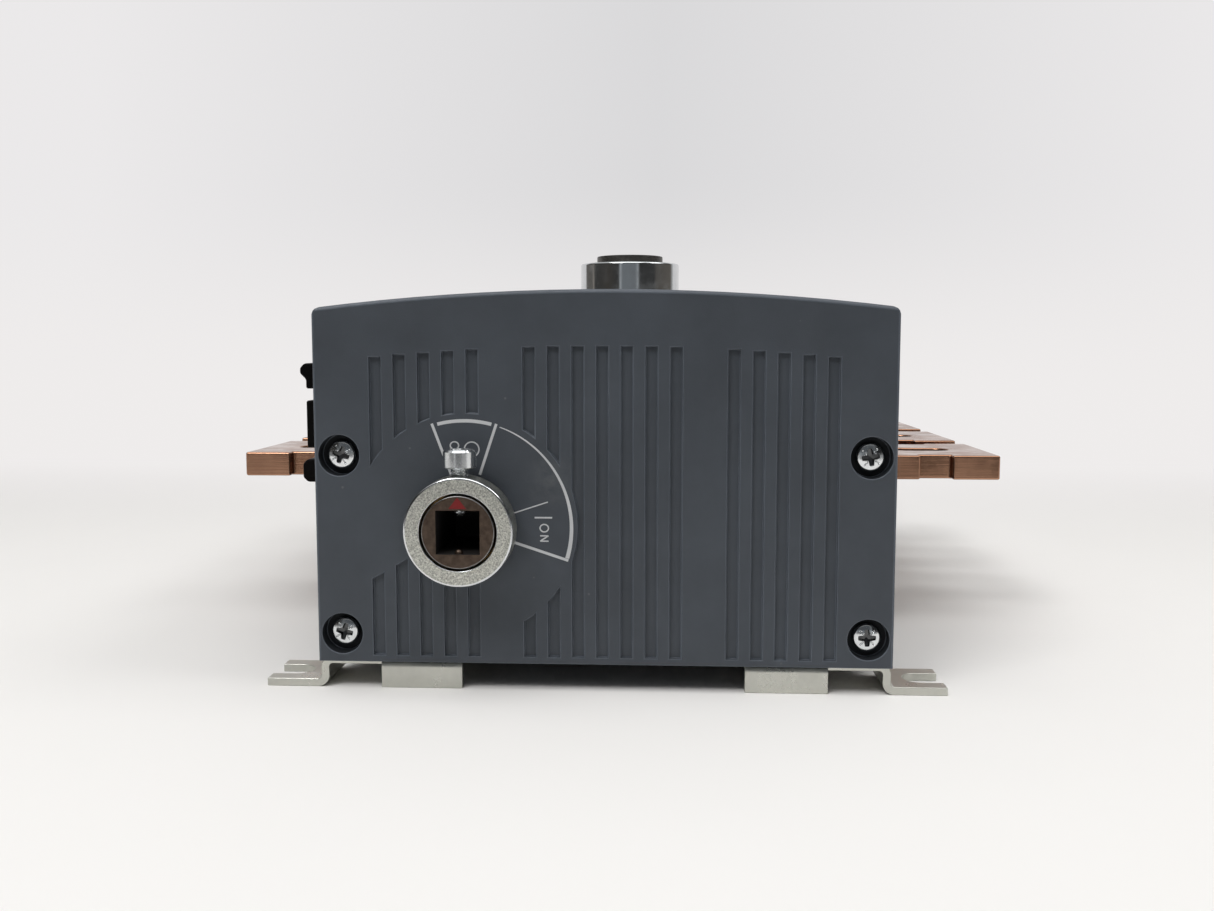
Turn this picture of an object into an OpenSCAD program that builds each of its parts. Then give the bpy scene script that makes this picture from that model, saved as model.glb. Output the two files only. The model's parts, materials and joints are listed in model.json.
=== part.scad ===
// Three-pole, two-position rotary load switch with an end drive and a top drive.
// +X is to the right of the dial end, +Y runs back along the poles and +Z is up.
// The origin lies on the mounting plane, at the middle of the outline.

/* [Body] */
// Width of the end cover, the housing and the rear plate
body_w = 162; // [150:1:180]
// Height of the side walls above the body's bottom
side_h = 100; // [96:1:112]
// Rise of the arched top above the side walls
crown = 5; // [3:0.5:8]
// Depth of the end cover
cover_d = 24; // [22:1:30]
// Thickness of the end cover's front plate
cover_t = 4; // [3:0.5:6]
// Wall of the end cover and the housing
wall = 3; // [2.5:0.5:4]
// Thickness of the housing's back wall
back_t = 5; // [4:0.5:8]
// Thickness of the rear plate
rear_t = 14; // [13:1:18]

/* [Face] */
// Width of a groove in the face
groove_w = 3.35; // [2.5:0.05:4.5]
// Distance from groove to groove
groove_pitch = 6.8; // [5.5:0.1:7.2]
// Depth of the grooves
groove_deep = 1.2; // [0.6:0.1:1.6]
// Height of the plain strip below the grooves
groove_low = 2; // [1.8:0.1:4]
// Distance from the arched edge down to the top of the grooves
groove_drop = 15.5; // [10:0.5:24]
// Distance of the outer groove groups from the middle of the face
groove_side = 49.8; // [45:0.2:52]
// Radius of the smooth pad around the dial
dial_r = 31.6; // [26:0.2:34]
// Distance of the cover screws from the body's sides
screw_edge = 7; // [6.5:0.5:9]
// Height of the lower cover screws above the body's bottom
screw_low = 8.1; // [7.5:0.1:12]
// Height of the upper cover screws above the body's bottom
screw_high = 58.9; // [50:0.1:66]
// Diameter of the recesses for the cover screws
recess_d = 11.6; // [10:0.2:13]
// Depth from the face to the top of the cover screws' heads
recess_deep = 2; // [1.5:0.5:5]

/* [Poles] */
// Length of one pole cassette
pole_pitch = 65; // [62:1:76]
// Step from the body's sides in to the pole cassettes
pole_step = 3; // [2:0.5:5]
// Step from the top of the body's side walls down to the pole cassettes
pole_drop = 3; // [1:0.5:5]
// Outer walls of a pole cassette
pole_wall = 4; // [3:0.5:5]
// Walls between neighbouring cassettes, each
party_wall = 3; // [2.5:0.5:4]
// Diameter of the contact rotors
rotor_d = 48; // [44:1:52]
// Diameter of the rotors' journals
journal_d = 26; // [24:1:30]
// Thickness of a contact blade
blade_t = 4; // [3:0.5:5]
// Width of a contact blade
blade_w = 26; // [23:1:28]
// Thickness of a fixed contact knife
knife_t = 6; // [5:0.5:8]
// Height of a fixed contact knife
knife_h = 20; // [14:1:22]
// Thickness of an arc plate
arc_t = 1.5; // [1:0.1:2]
// Length of an arc plate outwards from the rotor
arc_len = 5; // [3:0.5:6]
// Width of the vents in the pole covers
vent_w = 2.4; // [1.5:0.1:3]
// Length of the vents in the pole covers
vent_len = 36; // [24:1:48]

/* [Terminals] */
// Distance between the tips of opposite terminal bars
bar_span = 268; // [240:1:300]
// Width of a terminal bar
bar_w = 50; // [40:1:54]
// Thickness of a terminal bar
bar_t = 8.5; // [6:0.5:10]
// Height of the bars' middle above the body's bottom
bar_mid = 46.95; // [45:0.05:49]
// Width of the bolt slot in a bar
slot_w = 11; // [9:0.5:14]
// Length of the bolt slot in a bar
slot_len = 21; // [16:0.5:26]
// Distance from the bar's tip to its bolt slot
slot_edge = 12.5; // [8:0.5:16]
// Length of the notches in a bar's edges
notch_w = 11.2; // [6:0.2:14]
// Depth of the notches in a bar's edges
notch_deep = 3.5; // [2:0.5:5]
// Distance from the bar's tip to the middle of its notches
notch_mid = 21.9; // [15:0.1:28]

/* [Drives] */
// Sideways place of the end drive's axis
end_x = -38.4; // [-40:0.1:-36]
// Height of the end drive's axis above the body's bottom
end_high = 39.3; // [37:0.1:42]
// Sideways place of the top drive and of the contact shaft
main_x = 6.2; // [4:0.1:8]
// Distance from the cover's joint back to the top drive's axis
top_set = 16.6; // [16:0.1:20]
// Diameter of the drive shafts where they take the handle
shaft_d = 20; // [18.5:0.5:20.5]
// Width of the square sockets
socket_w = 12; // [10:0.1:12.6]
// Depth of the square sockets
socket_deep = 30; // [20:1:36]
// Outer diameter of the coupling rings
ring_d = 30; // [28:0.5:32]
// Inner diameter of the coupling rings
ring_bore = 21.3; // [20.6:0.1:22]
// Length of the coupling rings
ring_len = 8.8; // [8.4:0.1:12]
// Gap between the face and the end coupling ring
end_gap = 3.6; // [0.5:0.1:5]
// Gap between the arched top and the top coupling ring
top_gap = 0.4; // [0.4:0.1:3]
// Height of the top shaft above its ring
top_rise = 2.3; // [0:0.1:4]
// Length of the drive shafts' bushes
bush_len = 12; // [8:1:14]
// Wall of the bushes
bush_wall = 1.75; // [1.25:0.25:2.5]
// Diameter of the slim shaft ends
spindle_d = 12; // [10:0.5:13]
// Width across the flats of the square contact shaft
square_w = 14; // [12:0.5:14.5]

/* [Gears] */
// Teeth of each spur gear
spur_teeth = 30; // [24:2:36]
// Width of the spur gears
spur_w = 10; // [6:1:14]
// Pitch radius of the bevel gears
bevel_r = 16; // [15:0.5:17]
// Teeth of each bevel gear
bevel_teeth = 16; // [12:4:20]
// Face width of the bevel gears
bevel_face = 6; // [4:0.5:7]
// Play between gear teeth, at each flank
gear_play = 0.12; // [0.08:0.02:0.2]

/* [Toggle] */
// Distance from the contact shaft to the crank pin
crank_r = 18; // [16.5:0.5:18.5]
// Diameter of the crank pin
crank_d = 5; // [4:0.5:6]
// Diameter of the toggle's pivot post
post_d = 6; // [5:0.5:7]
// Distance from the pivot post to the housing's side wall
post_edge = 9.8; // [8:0.2:12]
// Thickness of the toggle rod
rod_t = 5; // [4:0.5:6]
// Diameter of the toggle rod's shank
shank_d = 7; // [6:0.5:8]
// Diameter of the spring's wire
wire_d = 1.6; // [1.2:0.1:1.8]
// Turns of the spring
spring_turns = 8; // [6:1:9]

/* [Feet] */
// Height of the body above the mounting plane
foot_h = 7.8; // [7:0.1:12]
// Thickness of the feet's steel sheet
foot_t = 2.3; // [1.5:0.1:2.6]
// Width of a foot along the body
foot_w = 19.5; // [18:0.5:26]
// Reach of a foot beyond the body's side
foot_out = 15.5; // [12:0.5:24]
// Distance of a foot's upright web from the body's side
web_in = 0.3; // [0.3:0.1:4]
// Length of the plate under the body
plate_len = 40.7; // [36:0.1:44]
// Part of the plate's thickness that shows below the body
plate_show = 1; // [0.3:0.1:1.2]
// Width of the end tab
tab_w = 23.2; // [16:0.2:28]
// Distance of the feet behind the end faces
foot_set = 1.2; // [1.2:0.1:3]
// Inside radius of the feet's bends
bend_in = 1.1; // [0.6:0.1:1.4]
// Width of the fork's slot
fork_w = 9.4; // [6.5:0.1:11]
// Depth of the fork's slot
fork_deep = 10.8; // [8:0.1:13]

/* [Fasteners] */
// Diameter of the cover and foot screws
screw_d = 4; // [3:0.5:5]
// Diameter of the heads of those screws
head_d = 8; // [7:0.2:8.4]
// Height of the heads of those screws
head_h = 2.6; // [2:0.1:3]
// Depth of thread engagement of those screws
bite = 9; // [6:0.5:12]
// Diameter of the tie rods
tie_d = 6; // [5:0.5:8]
// Distance of the tie rods from the edges of the pole cassettes
tie_edge = 9; // [8:0.5:11]
// Diameter of the clamp screws
clamp_d = 5; // [4:0.5:6]
// Diameter of the clamp screws' heads
clamp_head_d = 9; // [7.5:0.1:9]
// Distance that a clamp screw's head stands clear of its ring
clamp_proud = 2.2; // [0.5:0.1:3]
// Distance that a clamp screw's tip reaches into the square socket
clamp_tip = 1.6; // [0.5:0.1:2.5]

/* [Auxiliary holder] */
// Distance from the face back to the auxiliary contact holder
aux_y = 28; // [26:0.5:34]
// Length of the auxiliary contact holder
aux_len = 30; // [20:1:36]
// Reach of the holder's hook beyond the body's side
aux_out = 12.5; // [10:0.1:14]
// Thickness of the holder's back
aux_back = 3; // [2:0.5:5]
// Height of the holder's lower edge above the body's bottom
aux_low = 48; // [46:0.1:52]
// Height of the lower lip
aux_lip_h = 7; // [5:0.1:8]
// Height of the middle plate
aux_plate_h = 14.3; // [10:0.1:16]
// Height of the hook
aux_hook_h = 7.7; // [6:0.1:9]
// Gaps between the lip, the plate and the hook
aux_gap = 3.6; // [2.5:0.1:5]
// Distance that the lower lip stays behind the hook
aux_lip_back = 0.3; // [0.2:0.1:3]
// Distance that the plate and the hook's stem stay behind the hook's head
aux_stem_back = 1.8; // [0.2:0.1:3]
// Chamfers on the outer edges of the lip and the hook
aux_chamfer = 1.4; // [0.4:0.1:2]
// Radius of the pegs that hold the holder to the housing
aux_peg_r = 2; // [1:0.1:2.5]

/* [Fits] */
// Radial clearance of a running fit
run_gap = 0.06; // [0.03:0.01:0.09]
// Clearance of a fixed fit
fit_gap = 0.03; // [0.01:0.01:0.05]
// Clearance of a screw or rod that only passes through a hole
pass_gap = 0.2; // [0.1:0.05:0.3]

/* [Hidden] */
$fn = 96;
pole_count = 3;
eps = 1;
groove_count_mid = 7;
groove_count_side = 5;
crown_r = ((body_w / 2) ^ 2 + crown ^ 2) / (2 * crown);
crown_z = foot_h + side_h + crown;

// The square contact shaft, the top drive and the bars share one height.
main_z = foot_h + bar_mid;
end_z = foot_h + end_high;
top_y = cover_d + top_set;

// Spur gears: equal wheels on the end shaft and on the contact shaft.
axis_dx = main_x - end_x;
axis_dz = main_z - end_z;
spur_r = sqrt(axis_dx ^ 2 + axis_dz ^ 2) / 2;
spur_module = 2 * spur_r / spur_teeth;
mesh_angle = atan2(axis_dz, axis_dx);
gear_gap = 4;

// Bevel gears: a mitre pair whose cones meet at the top drive's axis.
bevel_module = 2 * bevel_r / bevel_teeth;
bevel_out = bevel_r + bevel_module * cos(45);
bevel_back = bevel_r + 1.5 * bevel_module;

// The mechanism's length stacks up from the top drive, the toggle and the gears.
rod_front = top_y + bevel_out;
rod_mid = rod_front + rod_t / 2;
rod_clear = 1;
spur_y = rod_front + rod_t + rod_clear;
back_y = spur_y + spur_w + gear_gap;
mech_len = back_y + back_t;
rear_y = mech_len + pole_count * pole_pitch;
body_len = rear_y + rear_t;
y_face = (end_gap + ring_len - body_len) / 2;

// Pole cassettes
pole_w = body_w - 2 * pole_step;
pole_top = foot_h + side_h - pole_drop;
seam_w = 1.2;
seam_deep = 1;
bore_width = pole_pitch - 2 * party_wall;
blade_gap = 3;
room_below = bar_mid - pole_wall;
room_above = side_h - pole_drop - pole_wall - bar_mid;
blade_r = min(room_below, room_above) - blade_gap;
tip_gap = 2;
bar_start = blade_r + tip_gap;
knife_start = rotor_d / 2 + 4;
contact_gap = 0.15;
rotor_gap = 0.5;
arc_first = 25;
arc_step = 8;
arc_count = 5;
vent_count = 6;
vent_pitch = 6;
vent_first = 24;
tie_x = pole_w / 2 - tie_edge;
tie_zs = [foot_h + tie_edge, pole_top - tie_edge];
hex_r = 0.95 * tie_d;
nut_gap = 1.5;
tie_head_h = 4;
tie_nut_h = 5;
tie_pocket = 8;
corner = tie_edge + tie_d / 2 + 4;

// Drive shafts
shaft_r = shaft_d / 2;
spindle_r = spindle_d / 2;
bush_r = shaft_r + run_gap + bush_wall;
flange_t = 2;
collar_r = bush_r + 1.5;
collar_t = 3;
collar_gap = 0.3;
sleeve_end = socket_deep + 4;
slim_bush_r = spindle_r + run_gap + bush_wall;
rear_journal_r = square_w / sqrt(2) + 1.2;
rear_bush_r = rear_journal_r + run_gap + bush_wall;
seat_r = spindle_r + 2;
main_front = cover_t + 4;
main_bush_end = top_y - bevel_back - collar_gap;
ring_mid_y = -end_gap - ring_len / 2;
top_ring_z = crown_z + top_gap;
top_end_z = top_ring_z + ring_len + top_rise;
clamp_head_h = 5;
clamp_key_d = 4.6;

// Toggle
post_x = body_w / 2 - wall - post_edge;
reach = post_x - main_x;
crank_angle = 45;
crank_x = crank_r * cos(crank_angle);
crank_z = crank_r * sin(crank_angle);
swing = atan2(crank_z, reach - crank_x);
fork_end = sqrt((reach - crank_x) ^ 2 + crank_z ^ 2) + 1;
fork_root = reach - crank_r - crank_d / 2 - 2;
fork_gap = crank_d + 3;
fork_prong = 3;
fork_base = fork_root - 5.5;
eye_r = post_d / 2 + 3.5;
spring_end_gap = 0.2;
spring_per_turn = 8;
spring_r = (shank_d / 2 + spring_end_gap) / cos(180 / spring_per_turn) + wire_d / 2;

// Screws and feet
screw_r = screw_d / 2;
screw_seat = recess_deep + head_h;
boss_wall = 3;
boss_r = recess_d / 2 + boss_wall;
bush_boss_wall = 4;
drill_tip = 1;
cross_w = 1.2;
cross_deep = 1.4;
cover_screw_xz = [
    for (side = [-1, 1])
        for (up = [screw_low, screw_high])
            [side * (body_w / 2 - screw_edge), foot_h + up]
];
web_x = body_w / 2 - web_in;
plate_z = foot_h - plate_show;
plate_x0 = web_x - plate_len;
foot_screw_y = foot_set + foot_t + bend_in + head_d / 2 + 0.3;
foot_screw_in = 21.9;
foot_screw_step = 13;
foot_screw_x = [web_x - foot_screw_in, web_x - foot_screw_in - foot_screw_step];
foot_gap = 0.2;

// Auxiliary holder
aux_lip_z = foot_h + aux_low;
aux_plate_z = aux_lip_z + aux_lip_h + aux_gap;
aux_hook_z = aux_plate_z + aux_plate_h + aux_gap;
aux_top_z = aux_hook_z + aux_hook_h;
aux_peg_z = [aux_lip_z + aux_lip_h / 2, aux_top_z - aux_hook_h / 2];

body_grey = "#404346";
black = "#151314";
zinc = "#bdbbb0";
steel = "#8d8a85";
bronze = "#a98a5b";
copper = "#b5836a";
pale = "#c9c3b4";

POLE_NODES = ["pole_base", "pole_cover", "terminal_left", "terminal_right", "rotor", "blades", "arc_plates"];

// Height of the arched top at a sideways place.
function crown_at(x) = crown_z - crown_r + sqrt(crown_r ^ 2 - x ^ 2);
// Distance from the face back to the start of a pole cassette.
function pole_y(i) = mech_len + (i - 1) * pole_pitch;
// Angle, in degrees, that an involute has unwound at a radius.
function involute(base, r) =
    let (roll = sqrt(max(0, (r / base) ^ 2 - 1)))
    roll * 180 / PI - atan(roll);
// Half the angle that a tooth fills at a radius, less the play at its flank.
function tooth_half(pitch_r, teeth, play, r) =
    let (base = pitch_r * cos(20))
    90 / teeth + involute(base, pitch_r) - involute(base, r) - play / pitch_r * 180 / PI;
// Points of one tooth as [radius, angle], from its root over the tip and back.
function tooth_points(pitch_r, teeth, mod, play) =
    let (
        base = pitch_r * cos(20),
        root = pitch_r - 1.25 * mod,
        low = max(base, root + 0.05 * mod),
        tip = pitch_r + mod,
        flank = [for (k = [0 : 4]) low + (tip - low) * k / 4],
        half_low = tooth_half(pitch_r, teeth, play, low)
    )
    concat(
        [[root, -half_low]],
        [for (r = flank) [r, -tooth_half(pitch_r, teeth, play, r)]],
        [for (k = [4 : -1 : 0]) [flank[k], tooth_half(pitch_r, teeth, play, flank[k])]],
        [[root, half_low]]
    );

// Everything below is drawn from the face backwards and then moved to the part's origin.
module placed() {
    translate([0, y_face, 0])
        children();
}

// A flat outline in X and Z, carried back along Y.
module along_y(y0, len) {
    translate([0, y0 + len, 0])
        rotate([90, 0, 0])
            linear_extrude(len)
                children();
}

module rod_y(x, z, r, y0, y1) {
    translate([x, y0, z])
        rotate([-90, 0, 0])
            cylinder(r = r, h = y1 - y0);
}

module rod_z(x, y, r, z0, z1) {
    translate([x, y, z0])
        cylinder(r = r, h = z1 - z0);
}

module block(x, y, z) {
    translate([x[0], y[0], z[0]])
        cube([x[1] - x[0], y[1] - y[0], z[1] - z[0]]);
}

// Outline of the cover, housing and rear plate, drawn in by an inset.
module body_outline(inset = 0) {
    intersection() {
        translate([-body_w / 2 + inset, foot_h + inset])
            square([body_w - 2 * inset, side_h + crown]);
        translate([0, crown_z - crown_r])
            circle(r = crown_r - inset, $fn = 720);
    }
}

// One group of upright grooves, from below the body up to the drop under the arch.
module groove_group(middle, count) {
    for (k = [0 : count - 1]) {
        x = middle + (k - (count - 1) / 2) * groove_pitch;
        translate([x - groove_w / 2, foot_h + groove_low])
            square([groove_w, crown_at(x) - groove_drop - foot_h - groove_low]);
    }
}

module groove_outlines() {
    groove_group(-groove_side, groove_count_side);
    groove_group(0, groove_count_mid);
    groove_group(groove_side, groove_count_side);
}

// Smooth pad around the dial, open to the grooves in a wedge below the shaft.
module dial_pad() {
    wedge = [for (a = [210, 249, 288]) 2 * dial_r * [cos(a), sin(a)]];
    translate([end_x, end_z]) {
        difference() {
            circle(r = dial_r);
            polygon(concat([[0, 0]], wedge));
        }
        circle(r = bush_r + 2);
    }
}

module foot_recess() {
    for (side = [0, 1])
        mirror([side, 0, 0])
            block(
                [plate_x0 - foot_gap, body_w / 2 + eps],
                [foot_set - foot_gap, foot_set + foot_w + foot_gap],
                [foot_h - eps, plate_z + foot_t]
            );
}

module foot_screw_holes() {
    for (side = [-1, 1])
        for (x = foot_screw_x)
            rod_z(side * x, foot_screw_y, screw_r + fit_gap, 0, plate_z + foot_t + bite + drill_tip);
}

// Puts what is drawn for the front feet at the rear end too.
module at_rear() {
    translate([0, body_len, 0])
        mirror([0, 1, 0])
            children();
}

module end_cover() {
    color(body_grey) placed() difference() {
        along_y(0, cover_d) body_outline();
        difference() {
            along_y(cover_t, cover_d) body_outline(wall);
            for (p = cover_screw_xz)
                rod_y(p[0], p[1], boss_r, 0, cover_d);
            rod_y(end_x, end_z, bush_r + bush_boss_wall, 0, bush_len);
            rod_y(main_x, main_z, slim_bush_r + bush_boss_wall, 0, main_bush_end);
            for (side = [0, 1])
                mirror([side, 0, 0])
                    block(
                        [foot_screw_x[1] - boss_r, web_x],
                        [0, foot_screw_y + boss_r],
                        [foot_h, plate_z + foot_t + bite + wall]
                    );
        }
        along_y(-eps, groove_deep + eps) difference() {
            groove_outlines();
            dial_pad();
        }
        for (p = cover_screw_xz) {
            rod_y(p[0], p[1], recess_d / 2, -eps, screw_seat);
            rod_y(p[0], p[1], screw_r + pass_gap, -eps, cover_d + eps);
        }
        rod_y(end_x, end_z, bush_r + fit_gap, -eps, bush_len + eps);
        rod_y(main_x, main_z, slim_bush_r + fit_gap, main_front - eps, cover_d);
        foot_recess();
        foot_screw_holes();
    }
}

module mechanism_housing() {
    color(body_grey) placed() difference() {
        along_y(cover_d, mech_len - cover_d) body_outline();
        difference() {
            along_y(cover_d - eps, back_y - cover_d + eps) body_outline(wall);
            for (p = cover_screw_xz)
                rod_y(p[0], p[1], boss_r, cover_d, cover_d + bite + 2 * drill_tip);
            rod_z(main_x, top_y, bush_r + bush_boss_wall, crown_z - bush_len, crown_z);
        }
        for (p = cover_screw_xz)
            rod_y(p[0], p[1], screw_r + fit_gap, cover_d - eps, cover_d + bite + drill_tip);
        rod_z(main_x, top_y, bush_r + fit_gap, crown_z - bush_len - eps, crown_z + eps);
        rod_y(main_x, main_z, rear_bush_r + fit_gap, back_y - eps, mech_len + eps);
        rod_y(end_x, end_z, slim_bush_r + fit_gap, back_y - eps, mech_len + eps);
        rod_y(post_x, main_z, post_d / 2 + fit_gap, back_y - eps, mech_len + eps);
        tie_holes();
        aux_pegs(aux_peg_r + fit_gap);
    }
}

module cross_head(r, h) {
    difference() {
        cylinder(r = r, h = h);
        for (turn = [0, 90])
            rotate([0, 0, turn])
                translate([-r * 0.65, -cross_w / 2, h - cross_deep])
                    cube([r * 1.3, cross_w, cross_deep + eps]);
    }
}

module cover_screws() {
    color(pale) placed() for (p = cover_screw_xz) {
        translate([p[0], screw_seat, p[1]])
            rotate([90, 0, 0])
                cross_head(head_d / 2, head_h);
        rod_y(p[0], p[1], screw_r, screw_seat - drill_tip, cover_d + bite);
    }
}

// A plain bush standing on its flange, bored for its shaft.
module flanged_bush(outer, inner, len, flange) {
    difference() {
        union() {
            cylinder(r = outer, h = len);
            translate([0, 0, len])
                cylinder(r = collar_r, h = flange);
        }
        translate([0, 0, -eps])
            cylinder(r = inner, h = len + flange + 2 * eps);
    }
}

module plain_bush(x, z, outer, inner, y0, y1) {
    difference() {
        rod_y(x, z, outer, y0, y1);
        rod_y(x, z, inner, y0 - eps, y1 + eps);
    }
}

module end_bush() {
    color(bronze) placed()
        translate([end_x, 0, end_z])
            rotate([-90, 0, 0])
                flanged_bush(bush_r, shaft_r + run_gap, bush_len, flange_t);
}

module top_bush() {
    color(bronze) placed()
        translate([main_x, top_y, crown_z])
            rotate([180, 0, 0])
                flanged_bush(bush_r, shaft_r + run_gap, bush_len, flange_t);
}

module main_bush() {
    color(bronze) placed()
        plain_bush(main_x, main_z, slim_bush_r, spindle_r + run_gap, main_front, main_bush_end);
}

module rear_bushes() {
    color(bronze) placed() {
        plain_bush(main_x, main_z, rear_bush_r, rear_journal_r + run_gap, back_y, mech_len);
        plain_bush(end_x, end_z, slim_bush_r, spindle_r + run_gap, back_y, mech_len);
    }
}

// Square socket in a shaft's end, cut downwards from the origin.
module socket() {
    translate([-socket_w / 2, -socket_w / 2, -socket_deep])
        cube([socket_w, socket_w, socket_deep + eps]);
}

module end_shaft() {
    tip = -end_gap - ring_len;
    color(steel) placed() difference() {
        union() {
            rod_y(end_x, end_z, shaft_r, tip, sleeve_end);
            rod_y(end_x, end_z, collar_r, bush_len + flange_t + collar_gap,
                bush_len + flange_t + collar_gap + collar_t);
            rod_y(end_x, end_z, spindle_r + 1, sleeve_end, spur_y);
            rod_y(end_x, end_z, spindle_r, spur_y, mech_len - collar_gap);
        }
        translate([end_x, tip, end_z])
            rotate([90, 0, 0])
                socket();
        rod_z(end_x, ring_mid_y, clamp_d / 2 + fit_gap, end_z, end_z + ring_d);
    }
}

module coupling_ring() {
    difference() {
        cylinder(r = ring_d / 2, h = ring_len);
        translate([0, 0, -eps])
            cylinder(r = ring_bore / 2, h = ring_len + 2 * eps);
        translate([0, 0, ring_len / 2])
            rotate([-90, 0, 0])
                cylinder(r = clamp_d / 2 + fit_gap, h = ring_d);
    }
}

// Clamp screw along +Z, drawn from the axis of the ring that it clamps.
module clamp_screw() {
    under = ring_d / 2 + clamp_proud;
    tip = socket_w / 2 - clamp_tip;
    translate([0, 0, tip])
        cylinder(r = clamp_d / 2, h = under - tip);
    translate([0, 0, under])
        difference() {
            cylinder(r = clamp_head_d / 2, h = clamp_head_h);
            translate([0, 0, clamp_head_h / 2])
                cylinder(d = clamp_key_d, h = clamp_head_h, $fn = 6);
        }
}

module end_coupling_ring() {
    color(zinc) placed()
        translate([end_x, -end_gap, end_z])
            rotate([90, 0, 0])
                coupling_ring();
}

module end_clamp_screw() {
    color(zinc) placed()
        translate([end_x, ring_mid_y, end_z])
            clamp_screw();
}

// Outline of a spur gear with one tooth on +X.
module spur_outline() {
    tooth = tooth_points(spur_r, spur_teeth, spur_module, gear_play);
    polygon([
        for (k = [0 : spur_teeth - 1])
            for (p = tooth)
                p[0] * [cos(p[1] + k * 360 / spur_teeth), sin(p[1] + k * 360 / spur_teeth)]
    ]);
}

module end_gear() {
    color(steel) placed() along_y(spur_y, spur_w)
        translate([end_x, end_z])
            difference() {
                rotate([0, 0, mesh_angle])
                    spur_outline();
                circle(r = spindle_r + fit_gap);
            }
}

module main_gear() {
    color(steel) placed() along_y(spur_y, spur_w)
        translate([main_x, main_z])
            difference() {
                rotate([0, 0, mesh_angle + 180 + 180 / spur_teeth])
                    spur_outline();
                circle(r = seat_r + fit_gap);
                translate([crank_x, -crank_z])
                    circle(r = crank_d / 2 + fit_gap);
            }
}

// A straight bevel gear with its cone's apex at the origin and its axis on +Z.
// Each tooth is drawn on the back cone and then shrunk towards the apex.
module bevel_gear() {
    cone_r = bevel_r / cos(45);
    inner = (bevel_r * sqrt(2) - bevel_face) / (bevel_r * sqrt(2));
    tooth = tooth_points(cone_r, bevel_teeth / cos(45), bevel_module, gear_play);
    outer_ring = [
        for (k = [0 : bevel_teeth - 1])
            for (p = tooth)
                let (
                    r = p[0] * cos(45),
                    a = p[1] / cos(45) + k * 360 / bevel_teeth
                )
                [r * cos(a), r * sin(a), 2 * bevel_r - r]
    ];
    n = len(outer_ring);
    root_z = 2 * bevel_r - (cone_r - 1.25 * bevel_module) * cos(45);
    points = concat(
        outer_ring,
        inner * outer_ring,
        [[0, 0, root_z], [0, 0, inner * root_z]]
    );
    faces = concat(
        [for (k = [0 : n - 1]) let (j = (k + 1) % n) [k, j, j + n]],
        [for (k = [0 : n - 1]) let (j = (k + 1) % n) [k, j + n, k + n]],
        [for (k = [0 : n - 1]) [(k + 1) % n, k, 2 * n]],
        [for (k = [0 : n - 1]) [k + n, (k + 1) % n + n, 2 * n + 1]]
    );
    difference() {
        union() {
            polyhedron(points = points, faces = faces);
            translate([0, 0, root_z - eps])
                cylinder(r = spindle_r + 4, h = bevel_back - root_z + eps);
        }
        cylinder(r = spindle_r + fit_gap, h = 2 * bevel_back);
    }
}

module top_bevel() {
    color(steel) placed()
        translate([main_x, top_y, main_z])
            rotate([0, 0, 180 / bevel_teeth])
                bevel_gear();
}

module main_bevel() {
    color(steel) placed()
        translate([main_x, top_y, main_z])
            rotate([90, 0, 0])
                bevel_gear();
}

module top_shaft() {
    collar_z = crown_z - bush_len - flange_t - collar_gap - collar_t;
    stub_z = main_z + bevel_r * 0.75;
    color(steel) placed() difference() {
        union() {
            rod_z(main_x, top_y, spindle_r, stub_z, main_z + bevel_back);
            rod_z(main_x, top_y, shaft_r, main_z + bevel_back, top_end_z);
            rod_z(main_x, top_y, collar_r, collar_z, collar_z + collar_t);
        }
        translate([main_x, top_y, top_end_z])
            socket();
        translate([main_x, top_y, top_ring_z + ring_len / 2])
            rotate([-90, 0, 0])
                cylinder(r = clamp_d / 2 + fit_gap, h = ring_d);
    }
}

module top_coupling_ring() {
    color(zinc) placed()
        translate([main_x, top_y, top_ring_z])
            coupling_ring();
}

module top_clamp_screw() {
    color(zinc) placed()
        translate([main_x, top_y, top_ring_z + ring_len / 2])
            rotate([-90, 0, 0])
                clamp_screw();
}

module square_rod(w, y0, y1) {
    block([main_x - w / 2, main_x + w / 2], [y0, y1], [main_z - w / 2, main_z + w / 2]);
}

module main_shaft() {
    color(steel) placed() {
        rod_y(main_x, main_z, spindle_r, main_front, spur_y);
        rod_y(main_x, main_z, seat_r, spur_y, spur_y + spur_w);
        rod_y(main_x, main_z, rear_journal_r, spur_y + spur_w, mech_len);
        square_rod(square_w, mech_len, rear_y - eps);
    }
}

module crank_pin() {
    color(zinc) placed()
        rod_y(main_x + crank_x, main_z - crank_z, crank_d / 2, rod_front - eps, spur_y + spur_w);
}

// The rod lies along -X from its pivot post and is then swung to the crank pin.
module on_toggle() {
    placed()
        translate([post_x, rod_mid, main_z])
            rotate([0, -swing, 0])
                children();
}

module toggle_rod() {
    half = fork_gap / 2 + fork_prong;
    color(zinc) on_toggle() difference() {
        union() {
            rod_y(0, 0, eye_r, -rod_t / 2, rod_t / 2);
            translate([eps - eye_r, 0, 0])
                rotate([0, -90, 0])
                    cylinder(d = shank_d, h = fork_base - eye_r + 2 * eps);
            block([-fork_end, -fork_base], [-rod_t / 2, rod_t / 2], [-half, half]);
        }
        block([-fork_end - eps, -fork_root], [-rod_t, rod_t], [-fork_gap / 2, fork_gap / 2]);
        rod_y(0, 0, post_d / 2 + run_gap, -shank_d, shank_d);
    }
}

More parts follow.
